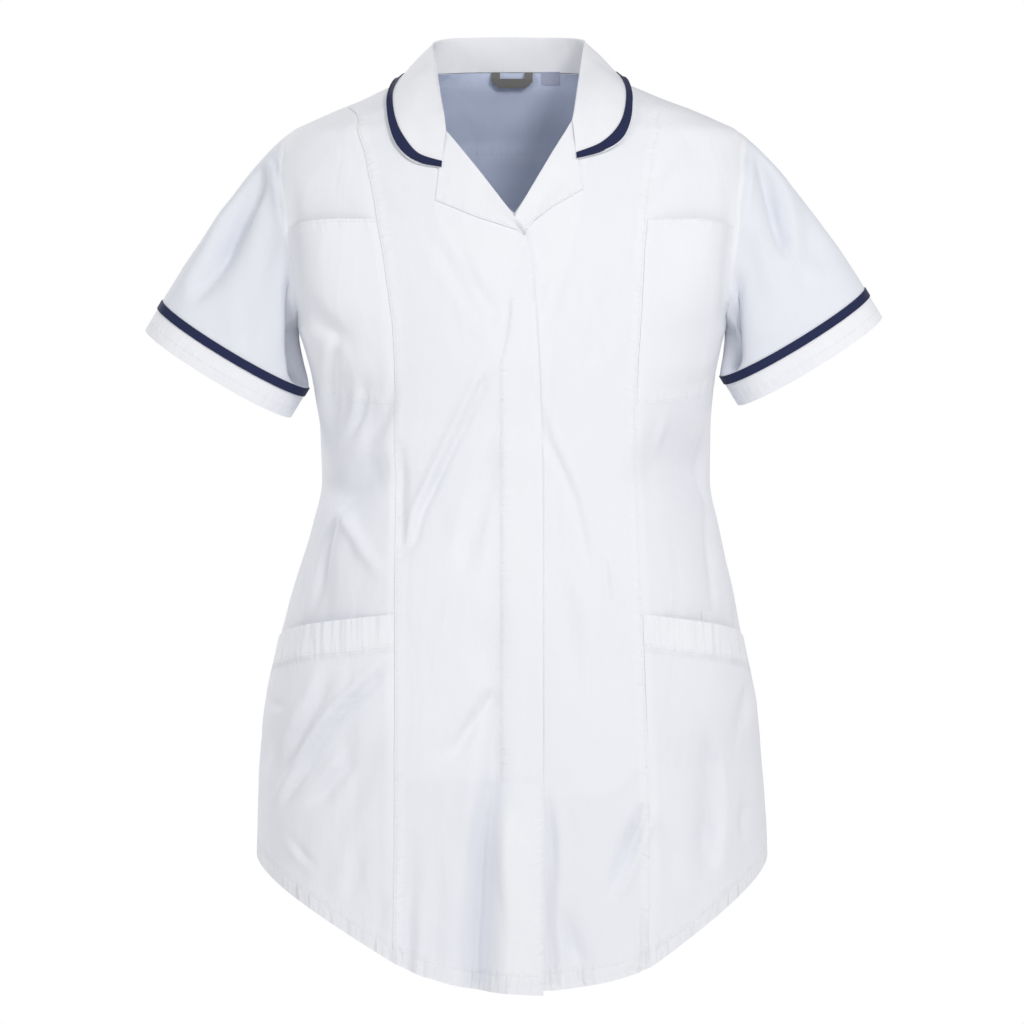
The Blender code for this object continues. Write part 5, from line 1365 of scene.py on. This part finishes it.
# The back, in one piece over its middle, and the yoke
side_half, half = back_rows()
halves = [panel_cloth(finer_rows(rows), even_shares(HALF_BACK_WIDTH))
          for rows in (half, mirrored_turns(half))]
back = Cloth(*(np.concatenate((near, far[:, -2::-1]), axis=1) for near, far in zip(*halves)))
rise = (FRONT_HEM[0] - FRONT_HEM[1]) * np.sin(math.pi * np.linspace(0, 1, back.points.shape[1]))
add("centre_back_cloth", "back_centre", trimmed(back, ("top", "start", "end"), HALF_GAP),
    (("start", 2.0), ("end", 2.0), ("bottom", SIDE_HEM + rise)), inner=painted_shade_inner_white,
    layers=single_layer(back, ("start", 9), ("end", 9), ("bottom", 14), ("top", 6)))
for side, rows in (("left", side_half), ("right", mirrored_turns(side_half))):
    cloth = panel_cloth(finer_rows(rows), even_shares(SIDE_WIDTH))
    add(side + "_side_back_cloth", "side_back_" + side,
        trimmed(cloth, ("top", "start", "end"), HALF_GAP), (("bottom", SIDE_HEM),),
        layers=single_layer(cloth, ("start", 5), ("end", 6), ("bottom", 11)))
add("yoke_cloth", "yoke", trimmed(yoke_cloth(), ("top", "bottom", "start", "end"), HALF_GAP),
    (("bottom", 1.6), ("top", 1.6)), layers=0.5, inner=painted_shade_inner_white)

# Sleeves with their trim
for side, sign, ring, folds, creases in (
        ("right", -1, RIGHT_SLEEVE, RIGHT_SLEEVE_FOLDS, RIGHT_SLEEVE_CREASES),
        ("left", 1, LEFT_SLEEVE, LEFT_SLEEVE_FOLDS, LEFT_SLEEVE_CREASES)):
    sleeve = sleeve_cloth(ring, sign, folds, creases)
    # Painted shade: the sleeves' single-layer share is 2.6 times the cloth's own, darkening the whole
    # sleeve beyond its one layer of cloth.
    add(side + "_sleeve_cloth", "sleeve_" + side, sleeve, (("bottom", SLEEVE_HEM_LINE),), tube=True,
        layers=2.6 * single_layer(sleeve, ("bottom", 26), ("top", 5)))
    last = SLEEVE_FINE_ROWS + SLEEVE_HEM_STEPS.index(SLEEVE_TRIM) + 2
    band = Cloth(*(part[SLEEVE_FINE_ROWS:last] for part in sleeve))
    add(side + "_sleeve_tape", "sleeve_trim_" + side, lifted(band, TRIM_LIFT), (), TRIM_CLOTH,
        navy, "navy_trim", tube=True)

# Collar, its trim and the lapels
collar = collar_cloth()
add("collar_cloth", "collar", collar, (), COLLAR_CLOTH)
trim = Cloth(*(part[:, -COLLAR_ACROSS - 1:] for part in collar))
trim = trimmed(lifted(trim, TRIM_LIFT), ("end",), COLLAR_TRIM_INSET)
add("collar_tape", "collar_trim", trim, (), TRIM_CLOTH, navy, "navy_trim")
for side, roll, edge, low_end in (("right", RIGHT_LAPEL_ROLL, RIGHT_LAPEL_EDGE, 0.6),
                                  ("left", LEFT_LAPEL_ROLL, LEFT_LAPEL_EDGE, 0.1)):
    add(side + "_lapel_cloth", "lapel_" + side, lapel_cloth(roll, edge, low_end),
        (("bottom", 1.6),), COLLAR_CLOTH)

# The pen strip, and the hanging loop with cut corners and the bare label inside the neck
patch = lifted(patch_cloth(PEN_STRIP, 5, 6, True), PEN_STRIP_LIFT)
add("pen_strip_cloth", "pen_strip", patch, (("start", 1.2), ("end", 1.2)))
loop = patch_cloth(HANGING_LOOP, LOOP_COLUMNS, LOOP_ROWS, False)
slack = np.interp(np.linspace(0, 1, LOOP_ROWS), LOOP_TAPE_DOWN, LOOP_SLACK)[:, None]
cut_out = [(row, column) for row in range(6) for column in range(6, LOOP_COLUMNS - 7)]
cut_out += [(row, column) for row in range(9, LOOP_ROWS - 1) for column in range(LOOP_COLUMNS - 1)
            if min(column, LOOP_COLUMNS - 2 - column) < row - 8]
add("hanging_loop_tape", "hanging_loop", lifted(loop, INSIDE_LIFT - slack), (), TRIM_CLOTH,
    loop_tape, "loop_tape", drop=cut_out)
label = lifted(patch_cloth(SIZE_LABEL, 7, 5, False), LABEL_LIFT)
add("size_label_tape", "size_label", label, (), LABEL_CLOTH, label_tape, "label_tape")

half = len(stitch_lines) // 2
stitches_piece("front_stitching", stitch_lines[:half], white_thread)
stitches_piece("other_stitching", stitch_lines[half:], white_thread)

floor_mesh = bpy.data.meshes.new("studio floor")
room = bmesh.new()
bmesh.ops.create_grid(room, x_segments=1, y_segments=1, size=6.0)
for vert in room.verts:
    vert.co.z = cad_low.z - 0.35
room.to_mesh(floor_mesh)
room.free()
paint = surface("studio floor", {"Base Color": (0.9, 0.9, 0.91, 1.0), "Roughness": 0.9})[0]
floor_mesh.materials.append(paint)
new_object("studio floor", floor_mesh)

# The camera sees a white backdrop, and the cloth a dimmer sky
world = bpy.data.worlds.new("pale studio")
world.use_nodes = True
sky = world.node_tree
dim = sky.nodes["Background"]
dim.inputs["Color"].default_value = (0.97, 0.98, 1.0, 1.0)
dim.inputs["Strength"].default_value = 0.4
backdrop = shader_node(sky, "Background", (), {"Color": (1.0, 1.0, 1.0, 1.0), "Strength": 1.0})
seen = shader_node(sky, "LightPath").outputs["Is Camera Ray"]
either = shader_node(sky, "MixShader", {0: seen, 1: dim.outputs[0], 2: backdrop.outputs[0]})
sky.links.new(either.outputs[0], sky.nodes["World Output"].inputs["Surface"])
bpy.context.scene.world = world
bpy.context.scene.view_settings.view_transform = "Standard"


def soft_light(name, place, size, power):
    data = bpy.data.lights.new(name, "AREA")
    data.shape = "DISK"
    data.size = size
    data.energy = power
    data.color = LAMP_COLOUR
    light = new_object(name, data)
    light.location = place
    aim = Vector(BODY_MIDDLE) - Vector(place)
    light.rotation_euler = aim.to_track_quat("-Z", "Y").to_euler()


soft_light("key", (1.05, -2.2, 1.0), 0.7, 25.2)
soft_light("right", (2.0, -1.9, 0.3), 0.8, 5.5)
soft_light("left", (-2.0, -1.9, 0.3), 0.8, 12.8)
soft_light("above", (0.0, -2.2, 1.3), 0.8, 6.0)
soft_light("far right", (2.3, -0.6, 0.2), 0.9, 3.5)
soft_light("far left", (-2.3, -0.6, 0.2), 0.9, 2.4)
soft_light("behind", (-1.7, 2.0, 1.0), 0.8, 30.0)
soft_light("behind right", (1.9, 2.0, 0.3), 0.9, 9.0)

lens = bpy.data.cameras.new("photo camera")
lens.sensor_width = SENSOR
lens.lens = SENSOR * CAMERA_DISTANCE / PHOTO_WIDTH
camera = new_object("photo camera", lens)
camera.location = (0.0, -CAMERA_DISTANCE, -0.3714)
camera.rotation_euler = (math.pi / 2, 0.0, 0.0)
bpy.context.scene.camera = camera
